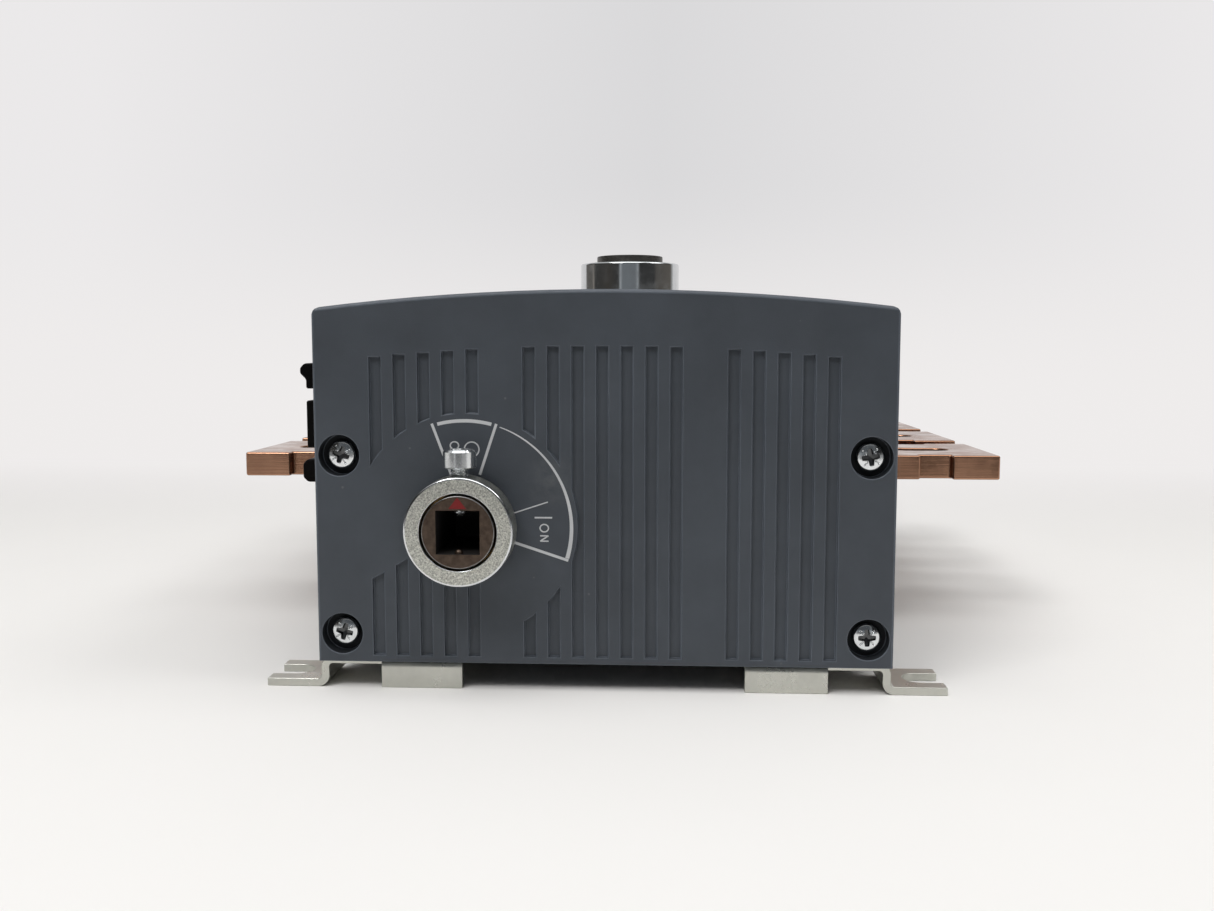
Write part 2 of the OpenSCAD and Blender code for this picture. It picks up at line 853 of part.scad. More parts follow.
// A coil round the rod's shank, swept as rings of six points.
module toggle_spring() {
    sides = 6;
    rings = spring_turns * spring_per_turn;
    start = eye_r + wire_d / 2 + spring_end_gap;
    travel = fork_base - wire_d / 2 - spring_end_gap - start;
    points = [
        for (k = [0 : rings])
            for (s = [0 : sides - 1])
                let (
                    a = 360 * k / spring_per_turn,
                    b = 360 * s / sides,
                    r = spring_r + wire_d / 2 * cos(b)
                )
                [-start - travel * k / rings + wire_d / 2 * sin(b), r * sin(a), r * cos(a)]
    ];
    sleeve = [
        for (k = [0 : rings - 1])
            for (s = [0 : sides - 1])
                let (
                    a = k * sides + s,
                    b = k * sides + (s + 1) % sides
                )
                each [[a, b, b + sides], [a, b + sides, a + sides]]
    ];
    last = rings * sides;
    near_end = [for (s = [1 : sides - 2]) [0, s + 1, s]];
    far_end = [for (s = [1 : sides - 2]) [last, last + s, last + s + 1]];
    color(pale) on_toggle()
        polyhedron(points = points, faces = concat(sleeve, near_end, far_end));
}

module toggle_pivot() {
    head_y = rod_front - collar_gap;
    color(zinc) placed() {
        rod_y(post_x, main_z, post_d / 2, head_y - flange_t, mech_len - collar_gap);
        rod_y(post_x, main_z, post_d / 2 + 2, head_y - flange_t, head_y);
        rod_y(post_x, main_z, post_d / 2 + 2, rod_front + rod_t + collar_gap, back_y);
    }
}

// One bent sheet foot: plate under the body, web, fork on the floor and end tab.
// Full ring that a bend of the feet's sheet is cut from, around an axis along y.
module bend_y(x, z, y) {
    difference() {
        rod_y(x, z, bend_in + foot_t, y[0], y[1]);
        rod_y(x, z, bend_in, y[0] - eps, y[1] + eps);
    }
}

// The same ring around an axis along x.
module bend_x(y, z, x) {
    translate([x[0], y, z])
        rotate([0, 90, 0])
            difference() {
                cylinder(r = bend_in + foot_t, h = x[1] - x[0]);
                translate([0, 0, -eps])
                    cylinder(r = bend_in, h = x[1] - x[0] + 2 * eps);
            }
}

module foot() {
    fork_x = body_w / 2 + foot_out;
    tab_x = [plate_x0, plate_x0 + tab_w];
    tab_bend_y = foot_set + foot_t + bend_in;
    top_bend_x = web_x - foot_t - bend_in;
    bend_z = plate_z - bend_in;
    round_x = fork_x - fork_deep + fork_w / 2;
    y = [foot_set, foot_set + foot_w];
    mid_y = foot_set + foot_w / 2;
    difference() {
        union() {
            difference() {
                block([plate_x0, top_bend_x], y, [plate_z, plate_z + foot_t]);
                block(
                    [plate_x0 - eps, plate_x0 + tab_w],
                    [foot_set - eps, tab_bend_y],
                    [plate_z - eps, plate_z + foot_t + eps]
                );
            }
            block(tab_x, [foot_set, foot_set + foot_t], [0, bend_z]);
            intersection() {
                bend_x(tab_bend_y, bend_z, tab_x);
                block(tab_x, [foot_set, tab_bend_y], [bend_z, plate_z + foot_t]);
            }
            intersection() {
                bend_y(top_bend_x, bend_z, y);
                block([top_bend_x, web_x], y, [bend_z, plate_z + foot_t]);
            }
            block([web_x - foot_t, web_x], y, [foot_t + bend_in, bend_z]);
            intersection() {
                bend_y(web_x + bend_in, foot_t + bend_in, y);
                block([web_x - foot_t, web_x + bend_in], y, [0, foot_t + bend_in]);
            }
            block([web_x + bend_in, fork_x], y, [0, foot_t]);
        }
        rod_z(round_x, mid_y, fork_w / 2, -eps, foot_t + eps);
        block([round_x, fork_x + eps], [mid_y - fork_w / 2, mid_y + fork_w / 2], [-eps, foot_t + eps]);
        for (x = foot_screw_x)
            rod_z(x, foot_screw_y, screw_r + pass_gap, plate_z - eps, plate_z + foot_t + eps);
    }
}

module foot_front_right() {
    color(zinc) placed()
        foot();
}

module foot_front_left() {
    color(zinc) placed()
        mirror([1, 0, 0])
            foot();
}

module foot_rear_right() {
    color(zinc) placed() at_rear()
        foot();
}

module foot_rear_left() {
    color(zinc) placed() at_rear()
        mirror([1, 0, 0])
            foot();
}

module foot_screw_pair(side) {
    for (x = foot_screw_x) {
        translate([side * x, foot_screw_y, plate_z])
            rotate([180, 0, 0])
                cross_head(head_d / 2, head_h);
        rod_z(side * x, foot_screw_y, screw_r, plate_z - drill_tip, plate_z + foot_t + bite);
    }
}

module foot_screws() {
    color(pale) placed() for (side = [-1, 1]) {
        foot_screw_pair(side);
        at_rear()
            foot_screw_pair(side);
    }
}

module tie_holes() {
    for (x = [-tie_x, tie_x])
        for (z = tie_zs)
            rod_y(x, z, tie_d / 2 + pass_gap, 0, body_len + eps);
}

module tie_rods() {
    color(zinc) placed()
        for (x = [-tie_x, tie_x])
            for (z = tie_zs) {
                rod_y(x, z, tie_d / 2, back_y - eps, body_len - 2 * eps);
                translate([x, back_y - tie_head_h, z])
                    rotate([-90, 0, 0])
                        cylinder(r = hex_r, h = tie_head_h, $fn = 6);
            }
}

module tie_nuts() {
    color(zinc) placed()
        for (x = [-tie_x, tie_x])
            for (z = tie_zs)
                translate([x, body_len - tie_pocket, z])
                    rotate([-90, 0, 0])
                        difference() {
                            cylinder(r = hex_r, h = tie_nut_h, $fn = 6);
                            translate([0, 0, -eps])
                                cylinder(r = tie_d / 2 + fit_gap, h = tie_nut_h + 2 * eps);
                        }
}

module rear_plate() {
    color(body_grey) placed() difference() {
        along_y(rear_y, rear_t) body_outline();
        along_y(body_len - groove_deep, groove_deep + eps) groove_outlines();
        for (x = [-tie_x, tie_x])
            for (z = tie_zs)
                rod_y(x, z, hex_r + nut_gap, body_len - tie_pocket, body_len + eps);
        tie_holes();
        at_rear() {
            foot_recess();
            foot_screw_holes();
        }
    }
}

module aux_pegs(r) {
    y = aux_y + aux_len / 2;
    for (z = aux_peg_z)
        translate([-body_w / 2 + wall, y, z])
            rotate([0, -90, 0])
                cylinder(r = r, h = wall + aux_back / 2);
}

// A lip that reaches out from the body's side, with its outer edges chamfered.
module lip_outline(reach, low, h, chamfer) {
    polygon([
        [0, low],
        [chamfer - reach, low],
        [-reach, low + chamfer],
        [-reach, low + h - chamfer],
        [chamfer - reach, low + h],
        [0, low + h]
    ]);
}

// A stem whose head swells outwards over its upper half.
module hook_outline() {
    stem = aux_out - aux_stem_back;
    head_z = aux_hook_z + aux_hook_h * 0.6;
    polygon([
        [0, aux_hook_z],
        [-stem, aux_hook_z],
        [-stem, head_z - aux_stem_back],
        [-aux_out, head_z],
        [-aux_out, aux_top_z - aux_chamfer],
        [aux_chamfer - aux_out, aux_top_z],
        [0, aux_top_z]
    ]);
}

module aux_contact_holder() {
    color(black) placed() {
        along_y(aux_y, aux_len)
            translate([-body_w / 2, 0]) {
                translate([-aux_back, aux_lip_z])
                    square([aux_back, aux_top_z - aux_lip_z]);
                lip_outline(aux_out - aux_lip_back, aux_lip_z, aux_lip_h, aux_chamfer);
                translate([aux_stem_back - aux_out, aux_plate_z])
                    square([aux_out - aux_stem_back, aux_plate_h]);
                hook_outline();
            }
        aux_pegs(aux_peg_r);
    }
}

module pole_outline(inset) {
    translate([-pole_w / 2 + inset, foot_h + inset])
        square([pole_w - 2 * inset, pole_top - foot_h - 2 * inset]);
}

// Hollow of a cassette, with its corners left solid for the tie rods.
module pole_hollow() {
    half = pole_w / 2 - pole_wall;
    difference() {
        pole_outline(pole_wall);
        for (x = [-half, half - corner + pole_wall])
            for (z = [foot_h + pole_wall, pole_top - corner])
                translate([x, z])
                    square(corner - pole_wall);
    }
}

module pole_shell(i) {
    y = pole_y(i);
    mid = y + pole_pitch / 2;
    difference() {
        union() {
            along_y(y, pole_pitch) pole_outline(seam_deep);
            along_y(y + seam_w / 2, pole_pitch - seam_w) pole_outline(0);
        }
        along_y(y + party_wall, bore_width) pole_hollow();
        rod_y(main_x, main_z, journal_d / 2 + run_gap, y - eps, y + pole_pitch + eps);
        block(
            [-pole_w, pole_w],
            [mid - bar_w / 2 - fit_gap, mid + bar_w / 2 + fit_gap],
            [main_z - bar_t / 2, main_z + bar_t / 2]
        );
        for (side = [-1, 1])
            for (k = [0 : vent_count - 1])
                translate([side * (vent_first + k * vent_pitch), mid, pole_top])
                    cube([vent_w, vent_len, 3 * pole_wall], center = true);
        tie_holes();
        at_rear()
            foot_recess();
    }
}

module pole_base(i) {
    color(black) placed() intersection() {
        pole_shell(i);
        block([-body_w, body_w], [0, body_len], [0, main_z]);
    }
}

module pole_cover(i) {
    color(black) placed() intersection() {
        pole_shell(i);
        block([-body_w, body_w], [0, body_len], [main_z, 2 * crown_z]);
    }
}

// A terminal bar with its fixed contact knife; side is -1 on the left and 1 on the right.
module terminal(i, side) {
    mid = pole_y(i) + pole_pitch / 2;
    tip = bar_span / 2;
    start = side * main_x + bar_start;
    knife = side * main_x + knife_start;
    mouth = tip - slot_edge - slot_w / 2;
    heel = tip - slot_edge - slot_len + slot_w / 2;
    z = [main_z - bar_t / 2, main_z + bar_t / 2];
    color(copper) placed() mirror([side < 0 ? 1 : 0, 0, 0]) difference() {
        union() {
            block([start, tip], [mid - bar_w / 2, mid + bar_w / 2], z);
            block([knife, start + bar_t], [mid - knife_t / 2, mid + knife_t / 2],
                [main_z - knife_h / 2, main_z + knife_h / 2]);
        }
        for (x = [mouth, heel])
            rod_z(x, mid, slot_w / 2, z[0] - eps, z[1] + eps);
        block([heel, mouth], [mid - slot_w / 2, mid + slot_w / 2], [z[0] - eps, z[1] + eps]);
        for (edge = [mid - bar_w / 2, mid + bar_w / 2])
            block([tip - notch_mid - notch_w / 2, tip - notch_mid + notch_w / 2],
                [edge - notch_deep, edge + notch_deep], [z[0] - eps, z[1] + eps]);
    }
}

module blade_pair(i, gap) {
    mid = pole_y(i) + pole_pitch / 2;
    inside = knife_t / 2 + contact_gap;
    for (y = [mid - inside - blade_t, mid + inside])
        intersection() {
            rod_y(main_x, main_z, blade_r + gap, y - gap, y + blade_t + gap);
            block([main_x - blade_w / 2 - gap, main_x + blade_w / 2 + gap],
                [y - eps, y + blade_t + eps], [0, 2 * crown_z]);
        }
}

module blades(i) {
    color(copper) placed() difference() {
        blade_pair(i, 0);
        square_rod(square_w + 1, pole_y(i), pole_y(i) + pole_pitch);
    }
}

module rotor(i) {
    y = pole_y(i);
    inset = party_wall + rotor_gap;
    color(pale) placed() difference() {
        union() {
            rod_y(main_x, main_z, rotor_d / 2, y + inset, y + pole_pitch - inset);
            rod_y(main_x, main_z, journal_d / 2, y + collar_gap, y + pole_pitch - collar_gap);
        }
        blade_pair(i, fit_gap);
        square_rod(square_w + 2 * fit_gap, y - eps, y + pole_pitch + eps);
    }
}

// Plates that split the arc, fanned where each blade tip leaves its knife.
module arc_plates(i) {
    y = pole_y(i) + party_wall;
    color(steel) placed() translate([main_x, y, main_z])
        for (half = [0, 180])
            for (k = [0 : arc_count - 1])
                rotate([0, 180 + half + arc_first + k * arc_step, 0])
                    block([bar_start, bar_start + arc_len], [0, bore_width], [-arc_t / 2, arc_t / 2]);
}

end_cover();
mechanism_housing();
cover_screws();
end_bush();
top_bush();
main_bush();
rear_bushes();
end_shaft();
end_coupling_ring();
end_clamp_screw();
end_gear();
top_shaft();
top_coupling_ring();
top_clamp_screw();
top_bevel();
main_shaft();
main_gear();
main_bevel();
crank_pin();
toggle_rod();
toggle_spring();
toggle_pivot();
foot_front_left();
foot_front_right();
foot_rear_left();
foot_rear_right();
foot_screws();
rear_plate();
tie_rods();
tie_nuts();
aux_contact_holder();
for (i = [1 : pole_count]) {
    pole_base(i);
    pole_cover(i);
    terminal(i, -1);
    terminal(i, 1);
    rotor(i);
    blades(i);
    arc_plates(i);
}
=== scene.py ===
"""Looks of a three-pole rotary load switch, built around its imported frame.

The frame gives every place and size. Each operator below dresses one piece or one group of like
pieces, and the last one sets up the floor, the light and the camera. Lengths are in metres.
"""

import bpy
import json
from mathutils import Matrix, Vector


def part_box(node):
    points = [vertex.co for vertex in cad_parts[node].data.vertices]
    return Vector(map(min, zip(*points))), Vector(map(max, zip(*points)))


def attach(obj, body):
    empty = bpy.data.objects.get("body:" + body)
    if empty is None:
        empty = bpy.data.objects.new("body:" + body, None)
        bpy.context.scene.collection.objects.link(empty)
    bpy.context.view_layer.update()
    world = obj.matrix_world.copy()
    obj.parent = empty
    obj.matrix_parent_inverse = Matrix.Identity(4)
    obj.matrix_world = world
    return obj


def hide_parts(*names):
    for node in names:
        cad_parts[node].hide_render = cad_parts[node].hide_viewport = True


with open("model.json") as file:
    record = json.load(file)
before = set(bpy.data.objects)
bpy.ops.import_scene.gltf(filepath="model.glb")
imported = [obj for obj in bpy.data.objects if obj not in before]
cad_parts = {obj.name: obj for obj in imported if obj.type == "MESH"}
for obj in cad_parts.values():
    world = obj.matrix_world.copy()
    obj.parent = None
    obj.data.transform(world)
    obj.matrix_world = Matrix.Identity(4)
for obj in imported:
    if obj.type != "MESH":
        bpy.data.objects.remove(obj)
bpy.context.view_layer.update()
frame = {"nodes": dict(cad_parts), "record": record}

import json
import math

import bmesh
import bpy
import numpy as np
from mathutils import Vector

bl_info = {
    "name": "Rotary load switch",
    "version": (1, 0, 0),
    "blender": (4, 5, 0),
    "location": "View3D > Sidebar > Load switch",
    "description": "Dresses the frame of a three-pole rotary load switch",
    "category": "Mesh",
}

MM = 0.001
TURN = 2 * math.pi
# Points closer than this are one point, and faces that meet more flatly than this are one face
MERGE = 0.0005 * MM
FLAT = math.radians(0.1)
# Edges that bend more than this are rounded or stay sharp; for screw heads it is the second angle
SHARP = math.radians(25)
HEAD_CREASE = math.radians(40)
# How far from a plane or a wall a point still counts as on it
TOUCH = 0.02 * MM
# Rounding of the pole cassettes and the nuts
BROKEN_EDGE = 0.3 * MM
# Share of a ring's radius beyond which its edges are the outer ones
OUTER_SHARE = 0.85
# An edge runs along an axis if this much of its direction does
STRAIGHT = 0.9

NODES = frame["nodes"]
BODIES = frame["record"]["behaviour"]["bodies"]
BODY_OF = {node: body for body, nodes in BODIES.items() for node in nodes}
SLOT_OF = {part["node"]: part["material_slot"] for part in frame["record"]["subparts"]}
POLES = (1, 2, 3)
FEET = ("foot_front_left", "foot_front_right", "foot_rear_left", "foot_rear_right")
# How far each cover screw's cross, and each foot screw's after the one before it, is turned
COVER_SCREW_TURNS = (-0.22, -0.3, 0.02, 0.15)
FOOT_SCREW_TURN = 0.7
# Height of a tie nut, and the height over the end ring at which the face is cut above the dial
NUT_HIGH = 9.87 * MM
ABOVE_PAD = 38 * MM


def box_of(*nodes):
    """Lowest and highest corner of several nodes together."""
    corners = np.array([[list(corner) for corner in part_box(node)] for node in nodes])
    return corners[:, 0].min(axis=0), corners[:, 1].max(axis=0)


def middle_of(node):
    """Middle of a node's box."""
    low, high = box_of(node)
    return (low + high) / 2


COVER_LOW, COVER_HIGH = box_of("end_cover")
FACE_Y = COVER_LOW[1]
HALF_W = COVER_HIGH[0]
END_RING = middle_of("end_coupling_ring")
END_TIP_Y = box_of("end_shaft")[0][1]
TOP_RING = middle_of("top_coupling_ring")
TOP_TIP_Z = box_of("top_shaft")[1][2]
OUT_OF_FACE = np.array((0.0, -1.0, 0.0))
BACKWARDS = np.array((0.0, 1.0, 0.0))
UP = np.array((0.0, 0.0, 1.0))


def length_setting(name, description, millimetres):
    """A length that a user may change."""
    return bpy.props.FloatProperty(
        name=name, description=description, default=millimetres * MM, unit="LENGTH")


def colour_setting(name, description, *light):
    """A colour that a user may change, as red, green and blue light."""
    return bpy.props.FloatVectorProperty(
        name=name, description=description, subtype="COLOR", size=4, default=(*light, 1))


class SwitchSizes(bpy.types.PropertyGroup):
    """Sizes of the details that the looks add to the frame."""

    face_edge: length_setting("Face edge", "Rounding along the face's arch", 1.1)
    side_edge: length_setting("Side edge", "Rounding along the face's sides", 0.7)
    shoulder: length_setting("Shoulder", "Rounding where the arched top meets the side walls", 2.2)
    groove_edge: length_setting("Groove edge", "Rounding along the grooves, recesses and joints", 0.25)
    groove_low: length_setting("Groove foot", "Height of the plain strip below the grooves", 2)
    bar_edge: length_setting("Bar edge", "Rounding along the copper bars", 0.7)
    sheet_edge: length_setting("Sheet edge", "Rounding along the cut edges of the feet", 0.25)
    tab: length_setting("Foot tab", "Width of the tabs that are bent down from the feet", 23.2)
    hook_edge: length_setting("Holder edge", "Rounding along the auxiliary contact holder", 0.6)
    recess: length_setting("Screw recess", "Diameter of the recesses of the cover screws", 11.6)
    head: length_setting("Screw head", "Diameter of the cover and foot screws' heads", 8)
    head_rise: length_setting("Head height", "Height of those heads", 2.6)
    screw: length_setting("Screw", "Diameter of those screws", 4)
    screw_step: length_setting("Foot screw step", "Distance between the two screws of a foot", 13)
    clamp: length_setting("Clamp screw", "Diameter of the clamp screws", 5)
    clamp_rise: length_setting("Clamp head height", "Height of the clamp screws' heads", 5)
    clamp_key: length_setting(
        "Clamp key", "Width across the corners of the clamp screws' hexagon sockets", 4.6)
    thread: length_setting("Thread", "Pitch of the clamp screws' thread", 0.9)
    socket: length_setting("Socket", "Width of the square sockets in the drive shafts", 12)
    socket_deep: length_setting("Socket depth", "Depth of the square sockets", 30)
    wire: length_setting("Spring wire", "Diameter of the toggle spring's wire", 1.6)
    spring_turns: bpy.props.IntProperty(
        name="Spring turns", description="Number of coils in the toggle spring", default=8)
    shaft_edge: length_setting("Shaft edge", "Rounding round the drive shafts", 0.3)
    ring_edge: length_setting("Ring edge", "Chamfer round the coupling rings", 0.6)
    bore_edge: length_setting("Bore edge", "Rounding round the bores of the coupling rings", 0.15)
    print_height: length_setting("Print height", "Thickness of the printed lines", 0.04)
    line_width: length_setting("Line width", "Width of the dial's radial lines", 0.75)
    letter_height: length_setting("Letter height", "Height of the letters on the dial", 2.35)
    letter_stroke: length_setting("Letter stroke", "Width of the letters' strokes", 0.36)


class SwitchColours(bpy.types.PropertyGroup):
    """Colours of the switch's finishes, as linear light."""

    body: colour_setting("Body", "Dark slate grey moulded plastic", 0.054, 0.0625, 0.075)
    # Darker than the plastic itself: painted shade for the auxiliary holder; the pole mouldings take it 3.6
    # times lighter
    black: colour_setting("Black", "Black moulded plastic", 0.0045, 0.004, 0.004)
    zinc: colour_setting("Zinc", "Zinc plating with a pale passivation", 0.58, 0.58, 0.53)
    bright: colour_setting("Bright zinc", "Bright zinc of the screws and the top ring", 0.70, 0.72, 0.73)
    browned: colour_setting("Browned steel", "Oxidised steel of the drive shafts", 0.098, 0.072, 0.056)
    blackened: colour_setting("Blackened steel", "Dark steel of the top shaft", 0.12, 0.116, 0.108)
    # Near black: painted shade inside the deep square sockets
    socket: colour_setting("Socket", "Black scale inside the square sockets", 0.018, 0.016, 0.015)
    steel: colour_setting("Steel", "Bare machined steel", 0.42, 0.41, 0.40)
    bronze: colour_setting("Bronze", "Sintered bronze of the bushes", 0.46, 0.30, 0.13)
    copper: colour_setting("Copper", "Rolled copper of the bars", 0.45, 0.25, 0.16)
    tarnish: colour_setting("Tarnish", "Brown film on the copper", 0.31, 0.165, 0.104)
    pale: colour_setting("Pale plastic", "Thermoset plastic of the rotors", 0.60, 0.55, 0.46)
    ink: colour_setting("Print", "Light print on the dial", 0.56, 0.57, 0.58)
    red: colour_setting("Pointer paint", "Red paint of the pointer on the end shaft", 0.22, 0.008, 0.008)
    dust: colour_setting("Dust", "Pale dust and scuffs", 0.30, 0.30, 0.29)


class StageSettings(bpy.types.PropertyGroup):
    """Camera, floor and light."""

    camera_place: bpy.props.FloatVectorProperty(
        name="Camera place", description="Where the camera stands", subtype="TRANSLATION",
        unit="LENGTH", default=(18.3 * MM, FACE_Y - 321.4 * MM, 97.7 * MM))
    camera_pitch: bpy.props.FloatProperty(
        name="Camera pitch", description="How far the camera looks down", subtype="ANGLE", default=0.0949)
    camera_yaw: bpy.props.FloatProperty(
        name="Camera yaw", description="How far the camera turns to the left", subtype="ANGLE",
        default=0.0528)
    lens: bpy.props.FloatProperty(
        name="Lens", description="Focal length in millimetres on a sensor 36 mm wide", default=34.64)
    floor: colour_setting("Floor", "Pale floor and backdrop", 0.86, 0.845, 0.825)
    horizon: colour_setting("Horizon", "Far floor as the camera sees it", 0.86, 0.84, 0.835)
    backdrop: colour_setting(
        "Backdrop", "Middle of the backdrop as the camera sees it", 0.70, 0.695, 0.705)
    backdrop_side: colour_setting(
        "Backdrop sides", "Sides of the backdrop as the camera sees them", 0.83, 0.815, 0.82)


def sizes():
    return bpy.context.scene.switch_sizes


def colours():
    return bpy.context.scene.switch_colours


# Place, aim, width and height of the soft lamps in metres, and their watts
LAMPS = {
    "top": ((-0.1, -0.55, 1.5), (0, -0.08, 0), 1.5, 1.1, 10),
    "key": ((-0.6, -0.95, 1.32), (0, -0.12, 0.06), 0.6, 0.4, 7.5),
    "side": ((0.9, -0.2, 1.15), (0.05, 0, 0.03), 0.7, 0.5, 4),
}
# Where the paper turns into the backdrop, by its distance behind the origin, height and distance aside
FAR_FLOOR = {"From Min": 0.08, "From Max": 0.5}
WALL_RISE = {"From Max": 0.4}
WALL_ASIDE = {"From Max": 1.0}
# How steeply a direction rises where the ceiling begins, the room's strips begin and they grow dim
CEILING_RISE = {"From Min": 0.45, "From Max": 0.75}
ROOM_RISE = {"From Min": 0.01, "From Max": 0.03}
DIM_RISE = {"From Min": 0.14, "From Max": 0.10, "To Min": 0.4}
CEILING = (0.6, 0.6, 0.6, 1)
DARK = (0, 0, 0, 1)
SENSOR_WIDTH = 36
# Degrees to the right of straight ahead, brightness and blueness of the strips in front of the face
ROOM_STRIPS = (
    (-180, 0.62, 0), (-125, 0.62, 0), (-118, 0.14, -0.08), (-95, 0.12, -0.08), (-92, 0.45, -0.1),
    (-89, 0.05, 0), (-50, 0.06, -0.1), (-24, 0.04, 0), (-20, 0.45, 0.05), (-16, 0.20, 0.08), (16, 0.20, 0.08),
    (20, 0.45, 0.05), (24, 0.04, 0), (60, 0.05, 0), (66, 0.10, -0.08), (112, 0.14, -0.1),
    (122, 0.62, 0), (180, 0.62, 0),
)
# The same below the horizon, where the bars, the clamp screw and the lower screws look
LOW_STRIPS = (
    (-180, 0.25, 0), (-125, 0.25, 0), (-114, 0.2, 0), (-110, 1.0, 0), (-98, 1.0, 0), (-94, 0.1, 0),
    (-62, 0.1, 0), (-57, 0.2, 0), (-31, 0.2, 0), (-28, 0.5, 0), (-20, 0.5, 0), (-17, 0.17, 0),
    (22, 0.17, 0), (27, 0.3, 0), (56, 0.3, 0), (62, 0.5, 0), (100, 0.5, 0), (106, 0.06, 0), (112, 0.06, 0),
    (122, 0.25, 0), (180, 0.25, 0),
)


# Node groups and materials

def feed(tree, socket, value):
    """Links an output to a socket, or sets a constant on it."""
    if isinstance(value, bpy.types.NodeSocket):
        tree.links.new(value, socket)
    else:
        socket.default_value = value


def add_node(tree, kind, inputs=None, **settings):
    """A node with its settings, and with its inputs linked to outputs or set to constants."""
    made = tree.nodes.new(kind)
    for key, value in settings.items():
        setattr(made, key, value)
    for socket, value in (inputs or {}).items():
        feed(tree, made.inputs[socket], value)
    return made


def calculated(tree, operation, *values):
    """The result of a Math node."""
    return add_node(tree, "ShaderNodeMath", dict(enumerate(values)), operation=operation).outputs["Value"]


def ranged(tree, value, limits, **settings):
    """The result of a Map Range node."""
    return add_node(tree, "ShaderNodeMapRange", {"Value": value, **limits}, **settings).outputs["Result"]


def own_place(tree):
    """Coordinates in the piece's own frame."""
    return add_node(tree, "ShaderNodeTexCoord").outputs["Object"]


def new_group(name, inputs, output):
    """A shader node group, with the sockets that give its named inputs and take its one output."""
    group = bpy.data.node_groups.new(name, "ShaderNodeTree")
    for label, default in inputs.items():
        kind = "NodeSocketVector" if isinstance(default, tuple) else "NodeSocketFloat"
        group.interface.new_socket(label, in_out="INPUT", socket_type=kind).default_value = default
    group.interface.new_socket(output, in_out="OUTPUT", socket_type="NodeSocketFloat")
    return group, group.nodes.new("NodeGroupInput").outputs, group.nodes.new("NodeGroupOutput").inputs


def mottle_group():
    """Soft blotches: a noise whose middle range is stretched between a low and a high value."""
    group, source, sink = new_group("surface_mottle", {"Scale": 60.0, "Low": 0.0, "High": 1.0}, "Value")
    noise = add_node(group, "ShaderNodeTexNoise", {
        "Vector": own_place(group), "Scale": source["Scale"], "Detail": 5.0, "Roughness": 0.6})
    limits = {"From Min": 0.32, "From Max": 0.68, "To Min": source["Low"], "To Max": source["High"]}
    feed(group, sink["Value"], ranged(group, noise.outputs["Fac"], limits))
    return group


def grain_group():
    """Fine moulded or blasted grain: a short-range noise mixed with small pits."""
    group, source, sink = new_group("fine_grain", {"Scale": 3000.0}, "Height")
    shared = {"Vector": own_place(group), "Scale": source["Scale"]}
    noise = add_node(group, "ShaderNodeTexNoise", {**shared, "Detail": 3.0, "Roughness": 0.7})
    pits = add_node(group, "ShaderNodeTexVoronoi", shared)
    height = calculated(group, "MULTIPLY_ADD", pits.outputs["Distance"], 0.5, noise.outputs["Fac"])
    feed(group, sink["Height"], height)
    return group


def dust_group():
    """Sparse specks: cells whose random value passes a share, lit only near their centres."""
    group, source, sink = new_group("dust_specks", {"Scale": 220.0, "Share": 0.04, "Strength": 0.6}, "Mask")
    cells = add_node(group, "ShaderNodeTexVoronoi", {"Vector": own_place(group), "Scale": source["Scale"]})
    limits = {"From Min": 0.05, "From Max": 0.12, "To Min": 1.0, "To Max": 0.0}
    dot = ranged(group, cells.outputs["Distance"], limits)
    split = add_node(group, "ShaderNodeSeparateColor", {"Color": cells.outputs["Color"]})
    chosen = calculated(group, "LESS_THAN", split.outputs["Red"], source["Share"])
    speck = calculated(group, "MULTIPLY", dot, chosen)
    feed(group, sink["Mask"], calculated(group, "MULTIPLY", speck, source["Strength"]))
    return group


def drawn_lines_group():
    """Rolled or drawn streaks: a noise whose coordinates are squeezed across the drawing direction."""
    inputs = {"Across": (30.0, 1500.0, 1500.0), "Low": 0.0, "High": 1.0}
    group, source, sink = new_group("drawn_lines", inputs, "Value")
    factors = {0: own_place(group), 1: source["Across"]}
    squeezed = add_node(group, "ShaderNodeVectorMath", factors, operation="MULTIPLY").outputs["Vector"]
    noise = add_node(group, "ShaderNodeTexNoise", {"Vector": squeezed, "Scale": 1.0, "Detail": 3.0})
    limits = {"From Min": 0.3, "From Max": 0.7, "To Min": source["Low"], "To Max": source["High"]}
    feed(group, sink["Value"], ranged(group, noise.outputs["Fac"], limits))
    return group


GROUP_MAKERS = {
    "surface_mottle": mottle_group,
    "fine_grain": grain_group,
    "dust_specks": dust_group,
    "drawn_lines": drawn_lines_group,
}


def effect(tree, name, **values):
    """The output of a shared node group, placed in a material with its own values."""
    group = bpy.data.node_groups.get(name) or GROUP_MAKERS[name]()
    return add_node(tree, "ShaderNodeGroup", values, node_tree=group).outputs[0]


def blend_colours(tree, factor, first, second, blend_type="MIX"):
    """Mix of two colours by a factor, each a constant or an output."""
    mix = add_node(tree, "ShaderNodeMix", {"Factor": factor}, data_type="RGBA", blend_type=blend_type)
    for name, value in (("A", first), ("B", second)):
        feed(tree, next(s for s in mix.inputs if s.name == name and s.type == "RGBA"), value)
    return next(s for s in mix.outputs if s.type == "RGBA")


def shade(colour, factor):
    """A colour made lighter or darker by a factor."""
    return (*(min(1.0, c * factor) for c in colour[:3]), 1.0)


def blotched(tree, colour, spread, scale):
    """A colour that varies softly, by a share of itself to either side."""
    blotch = effect(tree, "surface_mottle", Scale=scale)
    return blend_colours(tree, blotch, shade(colour, 1 - spread), shade(colour, 1 + spread))


def principled(name, metallic, specular=0.5):
    """A material with its Principled shader; gives the material, its tree and the shader."""
    made = bpy.data.materials.new(name)
    made.use_nodes = True
    tree = made.node_tree
    shader = tree.nodes["Principled BSDF"]
    shader.inputs["Metallic"].default_value = metallic
    shader.inputs["Specular IOR Level"].default_value = specular
    return made, tree, shader


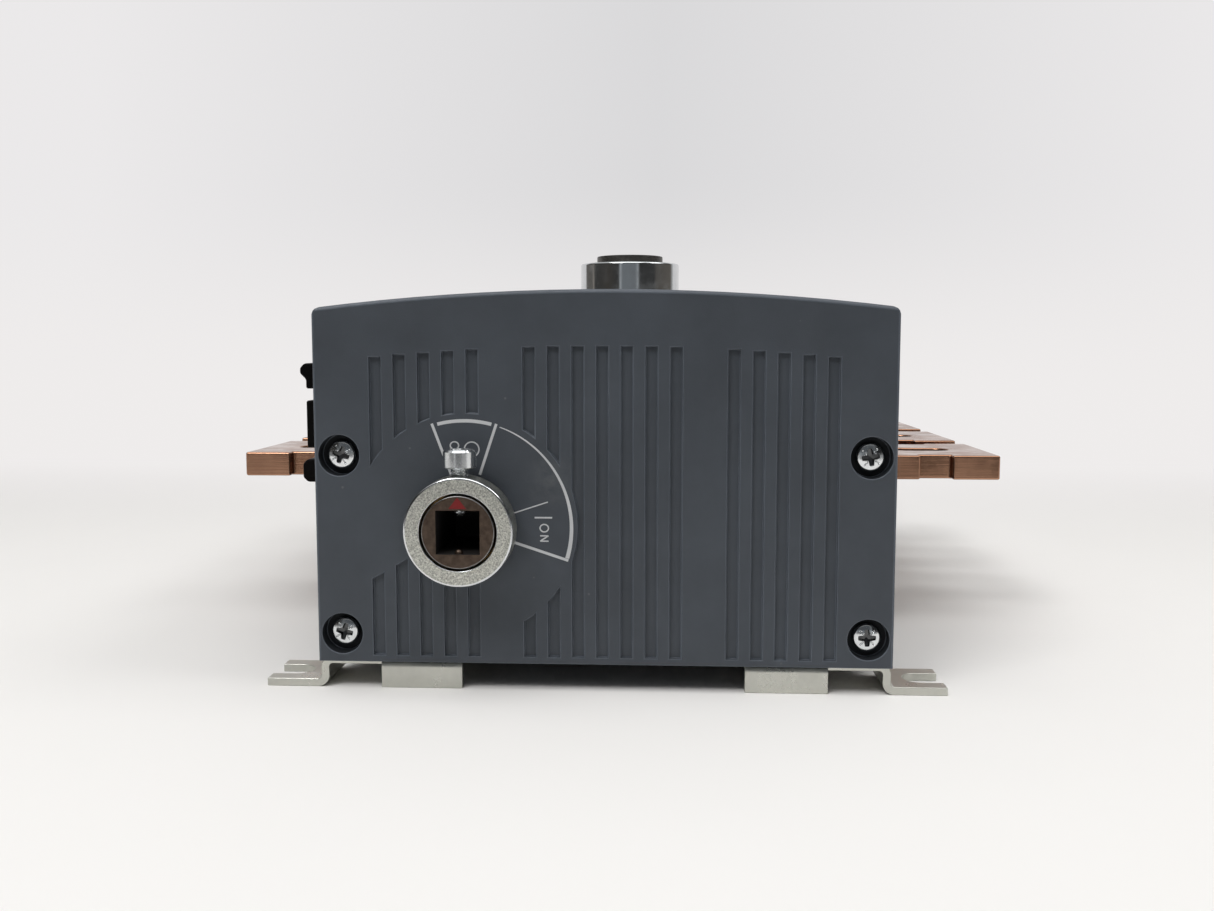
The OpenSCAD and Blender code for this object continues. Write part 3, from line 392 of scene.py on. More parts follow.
def dress(tree, shader, tone, gloss, height, depth, strength=0.5):
    """Gives a shader its colour, a roughness mottled by the values in gloss, and a bump as deep as depth."""
    bump = add_node(tree, "ShaderNodeBump", {"Strength": strength, "Distance": depth, "Height": height})
    feed(tree, shader.inputs["Base Color"], tone)
    feed(tree, shader.inputs["Roughness"], effect(tree, "surface_mottle", **gloss))
    feed(tree, shader.inputs["Normal"], bump.outputs["Normal"])


def scuffed(tree, tone, place, reach):
    """A colour with a pale smudge on it: a blotchy mask that fades with the distance from a place."""
    ends = {0: own_place(tree), 1: place}
    apart = add_node(tree, "ShaderNodeVectorMath", ends, operation="DISTANCE").outputs["Value"]
    fade = ranged(tree, apart, {"From Min": 0.0, "From Max": reach, "To Min": 1.0, "To Max": 0.0})
    blotch = effect(tree, "surface_mottle", Scale=320.0, Low=0.0, High=0.16)
    return blend_colours(tree, calculated(tree, "MULTIPLY", fade, blotch), tone, colours().dust)


def moulded_plastic(name, colour, rough, dust_share=0.03, spread=0.12, scuff=None, specular=0.4):
    """Moulded plastic: faint blotches, fine grain, a few specks of dust, and a scuff where one is given."""
    made, tree, shader = principled(name, 0.0, specular)
    tone = blotched(tree, colour, spread, 38.0)
    if scuff:
        tone = scuffed(tree, tone, *scuff)
    specks = effect(tree, "dust_specks", Share=dust_share, Scale=260.0, Strength=0.2)
    dusty = blend_colours(tree, specks, tone, colours().dust)
    gloss = {"Scale": 90.0, "Low": rough - 0.07, "High": rough + 0.07}
    grain = effect(tree, "fine_grain", Scale=2600.0)
    dress(tree, shader, dusty, gloss, grain, 0.06 * MM, strength=0.35)
    return made


def plated_metal(name, colour, rough, spread, grain_scale=900.0, grain_depth=0.02, pits=0.0):
    """Metal with a grainy plated surface: the grain tints the colour and the gloss, and pits are dark."""
    made, tree, shader = principled(name, 1.0)
    tone = blotched(tree, colour, spread, grain_scale)
    if pits:
        specks = effect(tree, "dust_specks", Share=pits, Scale=600.0, Strength=0.9)
        tone = blend_colours(tree, specks, tone, shade(colour, 0.2))
    gloss = {"Scale": 140.0, "Low": rough - 0.08, "High": rough + 0.08}
    grain = effect(tree, "fine_grain", Scale=grain_scale * 2)
    dress(tree, shader, tone, gloss, grain, grain_depth * MM)
    return made


def drawn_metal(name, colour, film, rough, across, contrast=0.12):
    """Rolled sheet or bar: streaks along the drawing direction, and patches of film over them."""
    made, tree, shader = principled(name, 1.0)
    patch = effect(tree, "surface_mottle", Scale=45.0)
    streak = effect(tree, "drawn_lines", Across=across, Low=1 - contrast, High=1 + contrast / 2)
    tone = blend_colours(tree, patch, colour, film)
    lined = blend_colours(tree, 1.0, tone, streak, "MULTIPLY")
    gloss = {"Scale": 70.0, "Low": rough - 0.08, "High": rough + 0.12}
    lines = effect(tree, "drawn_lines", Across=across)
    dress(tree, shader, lined, gloss, lines, contrast * 0.08 * MM)
    return made


# Grain of the smoothly plated finishes
SMOOTH = {"grain_scale": 300.0, "grain_depth": 0.002}


def body_plastic():
    scuff_place = (END_RING[0] + 24 * MM, FACE_Y, END_RING[2] + 13 * MM)
    return moulded_plastic("body_plastic", colours().body, 0.52, scuff=(scuff_place, 9 * MM))


# Body plastic 1.6 times lighter on the shells' rounded edges: partly edge wear, partly a painted highlight
# along the arch and the grooves
def body_edge_wear_and_highlight():
    return moulded_plastic("body_edge_wear_and_highlight", shade(colours().body, 1.6), 0.45, dust_share=0.02)


# Body plastic darkened to a third: painted shade on the walls of the cover screws' recesses
def painted_recess_shade():
    return moulded_plastic("painted_recess_shade", shade(colours().body, 0.3), 0.6, dust_share=0.0, specular=0.2)


# Black plastic of the auxiliary holder, kept darker than the plastic is: partly painted shade
def shaded_black_moulding():
    return moulded_plastic("shaded_black_moulding", colours().black, 0.5, spread=0.3, specular=0.05)


def pole_moulding():
    black = shade(colours().black, 3.6)
    return moulded_plastic("pole_moulding", black, 0.48, dust_share=0.04, spread=0.2, specular=0.3)


def zinc_sheet():
    film = shade(colours().zinc, 0.97)
    return drawn_metal("zinc_sheet", colours().zinc, film, 0.32, across=(700.0, 50.0, 700.0), contrast=0.03)


def zinc_grain():
    zinc = shade(colours().zinc, 0.95)
    return plated_metal("zinc_grain", zinc, 0.36, grain_scale=2400.0, grain_depth=0.04, spread=0.52, pits=0.8)


def zinc_bright():
    return plated_metal("zinc_bright", colours().bright, 0.14, **SMOOTH, spread=0.05)


def zinc_satin():
    return plated_metal("zinc_satin", colours().bright, 0.2, **SMOOTH, spread=0.04)


def ring_polish():
    return plated_metal("ring_polish", shade(colours().bright, 0.88), 0.10, **SMOOTH, spread=0.04)


# Bright zinc darkened to 0.14: painted shade in the screws' cross recesses
def screw_recess():
    return plated_metal("screw_recess", shade(colours().bright, 0.14), 0.3, **SMOOTH, spread=0.2)


def blackened_steel():
    return plated_metal("blackened_steel", colours().blackened, 0.45,
                        grain_scale=500.0, grain_depth=0.01, spread=0.2)


# Near-black finish inside the square sockets: painted shade
def socket_shade():
    return moulded_plastic("socket_shade", colours().socket, 0.6, dust_share=0.0, spread=0.3)


# Steel at 0.6 on the end shaft's rounded rim, lighter than the browned steel: edge wear, and a painted
# highlight along the chamfer
def edge_wear_and_highlight():
    return plated_metal("edge_wear_and_highlight", shade(colours().steel, 0.6), 0.3, grain_depth=0.01, spread=0.25)


def browned_steel():
    return plated_metal("browned_steel", colours().browned, 0.46, grain_scale=500.0, spread=0.3)


def machined_steel():
    return plated_metal("machined_steel", colours().steel, 0.36,
                        grain_scale=400.0, grain_depth=0.01, spread=0.15)


def bush_bronze():
    return plated_metal("bush_bronze", colours().bronze, 0.42, grain_scale=1200.0, spread=0.2)


def bar_copper():
    return drawn_metal("bar_copper", colours().copper, colours().tarnish, 0.17, across=(40.0, 1600.0, 1600.0))


def rotor_plastic():
    return moulded_plastic("rotor_plastic", colours().pale, 0.5)


def dial_ink():
    return moulded_plastic("dial_ink", colours().ink, 0.6, dust_share=0.0, spread=0.1)


def pointer_paint():
    return moulded_plastic("pointer_paint", colours().red, 0.45, dust_share=0.08, spread=0.35)


MATERIAL_MAKERS = (body_plastic, body_edge_wear_and_highlight, painted_recess_shade, shaded_black_moulding, pole_moulding, zinc_sheet,
                   zinc_grain, zinc_bright, zinc_satin, ring_polish, screw_recess, blackened_steel,
                   socket_shade, edge_wear_and_highlight, browned_steel, machined_steel, bush_bronze, bar_copper,
                   rotor_plastic, dial_ink, pointer_paint)
MAKER_OF = {maker.__name__: maker for maker in MATERIAL_MAKERS}
FINISH_OF_SLOT = {
    "grey_plastic": "body_plastic",
    "black_plastic": "pole_moulding",
    "zinc_steel": "zinc_bright",
    "dark_steel": "browned_steel",
    "bare_steel": "machined_steel",
    "bronze": "bush_bronze",
    "copper": "bar_copper",
    "pale_plastic": "rotor_plastic",
}


def finish(name):
    """The named finish, made at its first use."""
    return bpy.data.materials.get(name) or MAKER_OF[name]()


# Meshes

def settle(piece, body, slot, *stands_for):
    """Tells the frame what a finished piece rides on and stands for; the slot it would take its finish from
    is not used.
    """
    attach(piece, body)
    if stands_for:
        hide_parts(*stands_for)
    return piece


def link_mesh(name, mesh, materials):
    for material in materials:
        mesh.materials.append(finish(material))
    piece = bpy.data.objects.new(name, mesh)
    bpy.context.scene.collection.objects.link(piece)
    return piece


def edge_arrays(mesh):
    """Middle and absolute direction of every edge."""
    points = np.empty(len(mesh.vertices) * 3)
    mesh.vertices.foreach_get("co", points)
    ends = np.empty(len(mesh.edges) * 2, dtype=np.int32)
    mesh.edges.foreach_get("vertices", ends)
    ends = points.reshape(-1, 3)[ends.reshape(-1, 2)]
    along = np.abs(ends[:, 1] - ends[:, 0])
    return ends.mean(axis=1), along / np.linalg.norm(along, axis=1, keepdims=True).clip(1e-12)


def face_middles(mesh):
    middles = np.empty(len(mesh.polygons) * 3)
    mesh.polygons.foreach_get("center", middles)
    return middles.reshape(-1, 3)


def cut_across(shape, axis, place):
    """Cuts all faces along a plane and marks the cuts, so that flat faces with holes become plain ones."""
    normal = np.eye(3)[axis]
    whole = shape.verts[:] + shape.edges[:] + shape.faces[:]
    cut = bmesh.ops.bisect_plane(shape, geom=whole, dist=MERGE, plane_co=normal * place, plane_no=normal)
    for item in cut["geom_cut"]:
        if isinstance(item, bmesh.types.BMEdge):
            item.seam = True


def softened(node, materials, rule, segments=3, cuts=(), paint=None):
    """A copy of a node, merged, with a rounding on each sharp edge for which rule gives a radius.

    rule takes the middles and directions of the edges and gives one radius for each. Each cut is the
    (axis, place) of a plane through the holes of the node's flat faces. paint takes the middles of the
    faces and gives each its material; the roundings take the last one.
    """
    mesh = NODES[node].data.copy()
    mesh.materials.clear()
    shape = bmesh.new()
    shape.from_mesh(mesh)
    bmesh.ops.remove_doubles(shape, verts=shape.verts, dist=MERGE)
    for axis, place in cuts:
        cut_across(shape, axis, place)
    bmesh.ops.dissolve_limit(shape, angle_limit=FLAT, verts=shape.verts, edges=shape.edges, delimit={"SEAM"})
    shape.to_mesh(mesh)
    sharp = np.array([edge.calc_face_angle(0.0) > SHARP for edge in shape.edges])
    shape.free()
    for name in ("custom_normal", "sharp_face"):
        if name in mesh.attributes:
            mesh.attributes.remove(mesh.attributes[name])
    middle, along = edge_arrays(mesh)
    radius = np.where(sharp, rule(middle, along), 0.0)
    width = radius.max()
    weight = mesh.attributes.new("bevel_weight_edge", "FLOAT", "EDGE")
    weight.data.foreach_set("value", (radius / width).astype(np.float32))
    mesh.polygons.foreach_set("use_smooth", np.ones(len(mesh.polygons), dtype=bool))
    mesh.edges.foreach_set("use_edge_sharp", sharp & (radius == 0))
    if paint:
        mesh.polygons.foreach_set("material_index", paint(face_middles(mesh)).astype(np.int32))
    piece = link_mesh(node + "_piece", mesh, materials)
    bevel = piece.modifiers.new("edges", "BEVEL")
    bevel.limit_method = "WEIGHT"
    bevel.width = width
    bevel.segments = segments
    bevel.use_clamp_overlap = False
    bevel.harden_normals = True
    bevel.material = len(materials) - 1
    return settle(piece, BODY_OF[node], SLOT_OF[node], node)


def on_plane(middle, axis, place):
    return np.abs(middle[:, axis] - place) < TOUCH


def even_edges(radius):
    """A rule that rounds every sharp edge alike."""
    return lambda middle, along: np.full(len(middle), radius)


def edges_off_plane(axis, place, radius):
    """A rule that rounds every sharp edge but those in a plane, on either side of the middle."""
    return lambda middle, along: np.where(on_plane(np.abs(middle), axis, place), 0.0, radius)


def rim_edges(centre, axis, beyond, radius):
    """A rule that rounds the edges farther from an axis than a distance, and keeps the others sharp."""
    def rule(middle, along):
        away = np.linalg.norm(np.delete(middle - centre, axis, axis=1), axis=1)
        return np.where(away > beyond, radius, 0.0)
    return rule


def ring_edges(node, axis, rim, bore):
    """A rule that rounds the edges of a ring's ends, the outer ones by rim and the inner ones by bore."""
    low, high = box_of(node)

    def rule(middle, along):
        ends = on_plane(middle, axis, low[axis]) | on_plane(middle, axis, high[axis])
        away = np.linalg.norm(np.delete(middle - (low + high) / 2, axis, axis=1), axis=1)
        return np.where(ends, np.where(away > OUTER_SHARE * (high - low)[0] / 2, rim, bore), 0.0)
    return rule


def grid_faces(rows, columns, closed_rows, closed_columns=True):
    """Quads between neighbouring rows and columns of a grid, joined up where it is closed."""
    row = np.arange(rows if closed_rows else rows - 1)
    column = np.arange(columns if closed_columns else columns - 1)
    row, column = np.meshgrid(row, column, indexing="ij")
    row_next = (row + 1) % rows
    column_next = (column + 1) % columns
    corners = (row * columns + column, row * columns + column_next,
               row_next * columns + column_next, row_next * columns + column)
    return np.stack(corners, axis=-1).reshape(-1, 4)


def surface(name, points, faces, materials, crease=SHARP):
    """A mesh from points and faces, with doubles merged and its faces turned outwards."""
    mesh = bpy.data.meshes.new(name)
    mesh.from_pydata(points.tolist(), [], [list(face) for face in faces])
    shape = bmesh.new()
    shape.from_mesh(mesh)
    bmesh.ops.remove_doubles(shape, verts=shape.verts, dist=MERGE)
    bmesh.ops.recalc_face_normals(shape, faces=shape.faces)
    shape.to_mesh(mesh)
    shape.free()
    mesh.shade_smooth()
    mesh.set_sharp_from_angle(angle=crease)
    return link_mesh(name, mesh, materials)


def axis_frame(axis):
    """Two directions square to an axis."""
    side = np.array((1.0, 0.0, 0.0))
    return side, np.cross(axis, side)


def turned(radii, heights, origin, axis):
    """Points of a surface round an axis.

    Row i and step k lie heights[i, k] along the axis from the origin and radii[i, k] out from it,
    at the angle of step k on a full turn.
    """
    radii, heights = np.broadcast_arrays(radii, heights)
    angle = TURN * np.arange(radii.shape[1]) / radii.shape[1]
    side, up = axis_frame(axis)
    out = np.cos(angle)[:, None] * side + np.sin(angle)[:, None] * up
    points = origin + heights[..., None] * axis + radii[..., None] * out
    return points.reshape(-1, 3), grid_faces(*radii.shape, False)


def joined(parts):
    """One set of points and faces from several."""
    starts = np.cumsum([0] + [len(points) for points, faces in parts])
    points = np.concatenate([points for points, faces in parts])
    faces = [face + start for (part, faces), start in zip(parts, starts) for face in faces]
    return points, faces


def stepped(values, start, end):
    """0 before start, 1 after end and a straight ramp between them; start may be the larger."""
    return np.clip((values - start) / (end - start), 0, 1)


def dome(size):
    """Radii and heights of a screw head's top: a shallow parabola, then an arc down to the rim."""
    rim = size.head / 2
    flat = 0.86 * rim
    sag = 0.5 * MM
    slope = math.atan(2 * sag / flat)
    bow = (rim - flat) / (1 - math.sin(slope))
    crown = np.linspace(0, flat, 36)
    turn = np.linspace(slope, TURN / 4, 8)[1:]
    radii = np.concatenate((crown, flat + bow * (np.sin(turn) - math.sin(slope))))
    drops = np.concatenate((sag * (crown / flat) ** 2, sag + bow * (math.cos(slope) - np.cos(turn))))
    return radii, size.head_rise - drops


def pan_screw(origin, axis, reach, size, turn, steps):
    """A screw with a domed head and a cross recess, seated at the origin.

    The head is a turned profile: the dome, the underside, the shank and its tip. The recess is taken
    from the dome: within two crossed arms that narrow outwards it deepens towards the middle, and four
    fine ticks lie between the arms.
    """
    rim = size.head / 2
    angle = TURN * np.arange(steps) / steps - turn
    radius, level = (row[:, None] for row in dome(size))
    x, y = np.abs(radius * np.cos(angle)), np.abs(radius * np.sin(angle))
    near, far = np.minimum(x, y), np.maximum(x, y)
    arm = 0.60 * rim
    half = (0.11 + 0.10 * (1 - far / arm).clip(0)) * rim
    cross = stepped(near, half + 0.03 * rim, half - 0.02 * rim) * stepped(far, arm, 0.94 * arm)
    tick = stepped(far - near, 0.07 * rim, 0.03 * rim) * stepped(radius, 0.36 * rim, 0.40 * rim)
    tick = tick * stepped(radius, 0.74 * rim, 0.70 * rim)
    deep = cross * (1.6 - 0.8 * far / arm) * MM
    top = level - np.maximum(deep, tick * 0.25 * MM)
    shank = size.screw / 2
    under_r = np.array((rim, 0.96 * rim, shank, shank, 0.6 * shank, 0))
    under_h = np.array((0.2 * MM, 0, 0, shank - reach, -reach, -reach))
    rows = np.concatenate((radius[:, 0], under_r))
    heights = np.concatenate((top, np.repeat(under_h[:, None], steps, axis=1)))
    return turned(np.repeat(rows[:, None], steps, axis=1), heights, origin, axis)


def cap_screw(origin, axis, tip, top, head, size, steps=72):
    """A socket cap screw, its tip and top measured along the axis from the origin.

    The radius of the thread is a triangle wave of the height less the pitch times the share of the turn,
    so the ridge climbs one pitch in each turn. The head is a chamfered cylinder, and its socket is a
    hexagon: the radius at an angle is the flat's distance over the cosine of the angle to the nearest flat.
    """
    angle = TURN * np.arange(steps) / steps
    under = top - size.clamp_rise
    point = 0.6 * MM
    climb = np.arange(tip + point, under, size.thread / 8)[:, None]
    wave = np.abs((climb / size.thread - angle / TURN) % 1 * 2 - 1)
    thread = size.clamp / 2 - 0.09 * size.clamp * wave
    flat = size.clamp_key / 2 * math.cos(TURN / 12)
    hexagon = flat / np.cos((angle + TURN / 12) % (TURN / 6) - TURN / 12)
    rim = head / 2
    lip = 0.25 * MM
    chamfer_in, chamfer_down = 0.5 * MM, 0.6 * MM
    floor = top - size.clamp_rise / 2
    ring = np.ones(steps)
    shape = [
        (0 * ring, tip), (0.34 * size.clamp * ring, tip), *zip(thread, climb[:, 0]),
        (0.42 * size.clamp * ring, under), (0.94 * rim * ring, under), (rim * ring, under + lip),
        (rim * ring, top - chamfer_down), (rim * ring - chamfer_in, top),
        (hexagon + lip, top), (hexagon, top - lip), (hexagon, floor), (0 * ring, floor),
    ]
    radii = np.array([row for row, height in shape])
    heights = np.array([height for row, height in shape])[:, None]
    return turned(radii, heights, origin, axis)


def coil(origin, along, across, first, last, radius, wire, turns, sides=12, per_turn=40):
    """A helix of wire round the line from the origin along a direction.

    The wire's middle goes evenly from first to last while it turns, and its section is a circle in the
    plane of the line and the radius.
    """
    share = np.linspace(0, 1, turns * per_turn + 1)[:, None]
    turn = TURN * turns * share
    around = TURN * np.arange(sides) / sides
    out = np.cos(turn)[..., None] * across + np.sin(turn)[..., None] * np.cross(along, across)
    away = (radius + wire / 2 * np.cos(around))[..., None]
    height = (first + (last - first) * share + wire / 2 * np.sin(around))[..., None]
    points = origin + height * along + away * out
    rows = len(share)
    ends = [np.arange(sides)[::-1], (rows - 1) * sides + np.arange(sides)]
    return points.reshape(-1, 3), [*grid_faces(rows, sides, False), *ends]


def ribbon(path, width, base, height):
    """Points of a flat printed line.

    Each section is a rectangle across the path, width wide in X and Z and height thick along -Y
    from the base plane.
    """
    ahead = np.gradient(path, axis=0)
    ahead /= np.linalg.norm(ahead, axis=1, keepdims=True)
    across = np.stack((-ahead[:, 1], ahead[:, 0]), axis=1) * np.broadcast_to(width, len(path))[:, None] / 2
    corners = np.stack((path - across, path + across, path + across, path - across), axis=1)
    depth = np.broadcast_to(np.array((base, base, base - height, base - height)), corners.shape[:2])
    points = np.stack((corners[..., 0], depth, corners[..., 1]), axis=-1).reshape(-1, 3)
    last = 4 * (len(path) - 1)
    faces = [*grid_faces(len(path), 4, False), np.array((0, 1, 2, 3)), last + np.array((3, 2, 1, 0))]
    return points, faces


def stroke(start, end):
    return np.linspace(start, end, 2)


def arc(centre, radius, first, last, steps=48):
    """Points on a circle; angles count clockwise from straight up."""
    angle = np.linspace(first, last, steps)
    return np.array(centre) + np.stack((np.sin(angle), np.cos(angle)), axis=1) * np.reshape(radius, (-1, 1))


# Operators

class SWITCH_OT_body(bpy.types.Operator):
    """End cover, mechanism housing and rear plate with moulded edges"""
    bl_idname = "switch.body"
    bl_label = "Body shells"

    def execute(self, context):
        size = sizes()
        arch_drop = 6 * MM
        wall = 2.5 * MM
        side_top = COVER_HIGH[2] - arch_drop

        def shell_edges(front, broken):
            def rule(middle, along):
                """Grooves and joints are barely broken, the face's rim and the shoulders are rounder."""
                radius = np.full(len(middle), broken)
                rim = on_plane(middle, 1, front)
                side = on_plane(np.abs(middle), 0, HALF_W)
                high = middle[:, 2] > side_top
                radius[rim & side] = size.side_edge
                radius[rim & high] = size.face_edge
                lengthwise = along[:, 1] > STRAIGHT
                radius[lengthwise & side & high] = size.shoulder
                inside = (np.abs(middle[:, 0]) < HALF_W - wall) & ~rim & lengthwise
                radius[inside & ~high] = 0.0
                return radius
            return rule

        screws_low, screws_high = box_of("cover_screws")
        nuts_low, nuts_high = box_of("tie_nuts")
        nut_half = NUT_HIGH / 2
        foot_top = box_of(FEET[0])[1][2]
        strip = COVER_LOW[2] + size.groove_low
        levels = (screws_low[2] + size.head / 2, END_RING[2], screws_high[2] - size.head / 2,
                  END_RING[2] + ABOVE_PAD, strip, foot_top)
        rows = (nuts_low[2] + nut_half, nuts_high[2] - nut_half, strip, foot_top)
        columns = (screws_low[0] + size.head / 2, screws_high[0] - size.head / 2)

        def recess_walls(middle):
            """Faces within the recesses of the cover screws get the second material, the body plastic
            darkened to a third as painted shade.
            """
            centres = [(x, z) for x in columns for z in (levels[0], levels[2])]
            offsets = [np.hypot(middle[:, 0] - x, middle[:, 2] - z) for x, z in centres]
            behind = middle[:, 1] > FACE_Y + TOUCH
            return behind & (np.min(offsets, axis=0) < size.recess / 2 + TOUCH)

        shells = (("end_cover", FACE_Y, size.groove_edge, levels, recess_walls),
                  ("mechanism_housing", FACE_Y, size.groove_edge, (), None),
                  ("rear_plate", box_of("rear_plate")[1][1], 0.0, rows, None))
        for node, front, broken, cuts, paint in shells:
            softened(node, ("body_plastic", "painted_recess_shade", "body_edge_wear_and_highlight"), shell_edges(front, broken),
                     cuts=[(2, z) for z in cuts], paint=paint)
        softened("aux_contact_holder", ("shaded_black_moulding",), even_edges(size.hook_edge))
        return {"FINISHED"}


class SWITCH_OT_poles(bpy.types.Operator):
    """Bases and covers of the pole cassettes, with broken edges"""
    bl_idname = "switch.poles"
    bl_label = "Pole cassettes"

    def execute(self, context):
        for i in POLES:
            for node in (f"pole_base_{i}", f"pole_cover_{i}"):
                middle = middle_of(node)
                softened(node, ("pole_moulding",), even_edges(BROKEN_EDGE), 2, cuts=[(1, middle[1])])
        return {"FINISHED"}


class SWITCH_OT_bars(bpy.types.Operator):
    """Copper terminal bars with rounded edges"""
    bl_idname = "switch.bars"
    bl_label = "Terminal bars"

    def execute(self, context):
        for i in POLES:
            for node in (f"terminal_left_{i}", f"terminal_right_{i}"):
                middle = middle_of(node)
                softened(node, ("bar_copper",), even_edges(sizes().bar_edge), cuts=[(1, middle[1])])
        return {"FINISHED"}


class SWITCH_OT_feet(bpy.types.Operator):
    """Feet of bent zinc-plated sheet"""
    bl_idname = "switch.feet"
    bl_label = "Feet"

    def execute(self, context):
        size = sizes()
        low, high = box_of("foot_screws")
        for node in FEET:
            row = low[1] + size.head / 2 if "front" in node else high[1] - size.head / 2
            slit = np.abs(np.array(box_of(node))[:, 0]).min() + size.tab
            softened(node, ("zinc_sheet",), edges_off_plane(0, slit, size.sheet_edge), cuts=[(1, row)])
        return {"FINISHED"}


class SWITCH_OT_screws(bpy.types.Operator):
    """Cross-recessed screws of the cover and the feet, and the socket cap screws of the rings"""
    bl_idname = "switch.screws"
    bl_label = "Screws"

    def darken(self, piece, places, axis, size):
        """Gives the faces that are sunk into the screws' heads the second material, the bright zinc darkened
        as painted shade.
        """
        apart = face_middles(piece.data) - np.array(places)[:, None]
        height = apart @ axis
        away = np.linalg.norm(apart - height[..., None] * axis, axis=2)
        own = away.argmin(axis=0)[None]
        height, away = (np.take_along_axis(values, own, axis=0)[0] for values in (height, away))
        sunk = np.interp(away, *dome(size)) - height
        deep, seat, reach = 0.3 * MM, 0.2 * MM, 0.7 * size.head / 2
        within = (sunk > deep) & (height > seat) & (away < reach)
        piece.data.polygons.foreach_set("material_index", within.astype(np.int32))

    def pan_screws(self, node, places, axis, reach, turns, steps):
        """Equal screws, each seated at its place and with its cross turned by its own angle."""
        size = sizes()
        parts = [pan_screw(np.array(place), axis, reach, size, turn, steps)
                 for place, turn in zip(places, turns)]
        piece = surface(node + "_piece", *joined(parts), ("zinc_bright", "screw_recess"), HEAD_CREASE)
        self.darken(piece, places, axis, size)
        settle(piece, "frame", SLOT_OF[node], node)

    def execute(self, context):
        size = sizes()
        rim = size.head / 2
        low, high = box_of("cover_screws")
        seat = low[1] + size.head_rise
        places = [(x, seat, z) for x in (low[0] + rim, high[0] - rim) for z in (low[2] + rim, high[2] - rim)]
        self.pan_screws("cover_screws", places, OUT_OF_FACE, high[1] - seat, COVER_SCREW_TURNS, 128)
        low, high = box_of("foot_screws")
        seat = low[2] + size.head_rise
        outer = high[0] - rim
        places = [(side * x, y, seat) for side in (-1, 1) for x in (outer, outer - size.screw_step)
                  for y in (low[1] + rim, high[1] - rim)]
        turns = [FOOT_SCREW_TURN * index for index in range(len(places))]
        self.pan_screws("foot_screws", places, -UP, high[2] - seat, turns, 64)
        for node, ring, axis in (("end_clamp_screw", END_RING, UP), ("top_clamp_screw", TOP_RING, BACKWARDS)):
            low, high = box_of(node)
            part = cap_screw(ring, axis, (low - ring) @ axis, (high - ring) @ axis, high[0] - low[0], size)
            settle(surface(node + "_piece", *part, ("zinc_satin",)), BODY_OF[node], SLOT_OF[node], node)
        softened("tie_nuts", ("zinc_bright",), even_edges(BROKEN_EDGE))
        return {"FINISHED"}


class SWITCH_OT_drives(bpy.types.Operator):
    """Drive shafts with their sockets, and the coupling rings of the end and the top"""
    bl_idname = "switch.drives"
    bl_label = "Drive shafts and rings"

    def execute(self, context):
        size = sizes()

        def socket_walls(centre, axis, tip):
            """Faces within the square socket get the second material, a near-black painted shade."""
            def paint(middle):
                aside = np.abs(np.delete(middle - centre, axis, axis=1)).max(axis=1)
                deep = np.abs(middle[:, axis] - tip)
                within = (deep > TOUCH) & (deep < size.socket_deep + TOUCH)
                return within & (aside < size.socket / 2 + TOUCH)
            return paint

        beyond = 0.75 * size.socket
        softened("end_shaft", ("browned_steel", "socket_shade", "edge_wear_and_highlight"),
                 rim_edges(END_RING, 1, beyond, size.shaft_edge),
                 cuts=[(0, END_RING[0])], paint=socket_walls(END_RING, 1, END_TIP_Y))
        softened("top_shaft", ("blackened_steel", "socket_shade"),
                 rim_edges(TOP_RING, 2, beyond, size.shaft_edge),
                 cuts=[(0, TOP_RING[0])], paint=socket_walls(TOP_RING, 2, TOP_TIP_Z))
        softened("end_coupling_ring", ("zinc_grain", "zinc_bright"),
                 ring_edges("end_coupling_ring", 1, size.ring_edge, size.bore_edge), cuts=[(0, END_RING[0])])
        softened("top_coupling_ring", ("ring_polish",),
                 ring_edges("top_coupling_ring", 2, size.ring_edge, size.bore_edge), cuts=[(0, TOP_RING[0])])
        self.catch(size)
        return {"FINISHED"}

    def catch(self, size):
        """A sprung plunger in the lower wall of the end socket: a collar with a half-round nose, turned."""
        # Radii of the collar and the nose, heights of foot, collar and nose, and depth in the socket, in mm
        collar, round_end, foot, brim, rise, deep = 1.3, 1.15, -0.4, 0.1, 1.2, 1.8
        nose = np.linspace(0, TURN / 4, 12)
        rows = np.concatenate(([0, collar, collar], round_end * np.cos(nose))) * MM
        heights = np.concatenate(([foot, foot, brim], brim + rise * np.sin(nose))) * MM
        origin = np.array((END_RING[0], END_TIP_Y + deep * MM, END_RING[2] - size.socket / 2))
        part = turned(np.repeat(rows[:, None], 40, axis=1), heights[:, None], origin, UP)
        settle(surface("socket_catch", *part, ("browned_steel",)), "end_drive", "dark_steel")


class SWITCH_OT_toggle(bpy.types.Operator):
    """Coil spring round the toggle's rod"""
    bl_idname = "switch.toggle"
    bl_label = "Toggle spring"

    def execute(self, context):
        size = sizes()
        mesh = NODES["toggle_spring"].data
        points = np.empty(len(mesh.vertices) * 3)
        mesh.vertices.foreach_get("co", points)
        pivot = middle_of("toggle_pivot")
        pivot[1] = middle_of("toggle_rod")[1]
        along = (middle_of("crank_pin") - pivot) * (1, 0, 1)
        along /= np.linalg.norm(along)
        apart = points.reshape(-1, 3) - pivot
        reach = apart @ along
        radius = np.linalg.norm(apart - reach[:, None] * along, axis=1).max() - size.wire / 2
        first, last = reach.min() + size.wire / 2, reach.max() - size.wire / 2
        part = coil(pivot, along, BACKWARDS, first, last, radius, size.wire, size.spring_turns)
        piece = surface("toggle_spring_piece", *part, ("machined_steel",))
        settle(piece, "toggle", SLOT_OF["toggle_spring"], "toggle_spring")
        return {"FINISHED"}


class SWITCH_OT_inner(bpy.types.Operator):
    """Finishes of the pieces that keep their frame shape"""
    bl_idname = "switch.inner"
    bl_label = "Inner pieces"

    def execute(self, context):
        for node, piece in NODES.items():
            for holder in piece.material_slots:
                holder.material = finish(FINISH_OF_SLOT[SLOT_OF[node]])
        return {"FINISHED"}


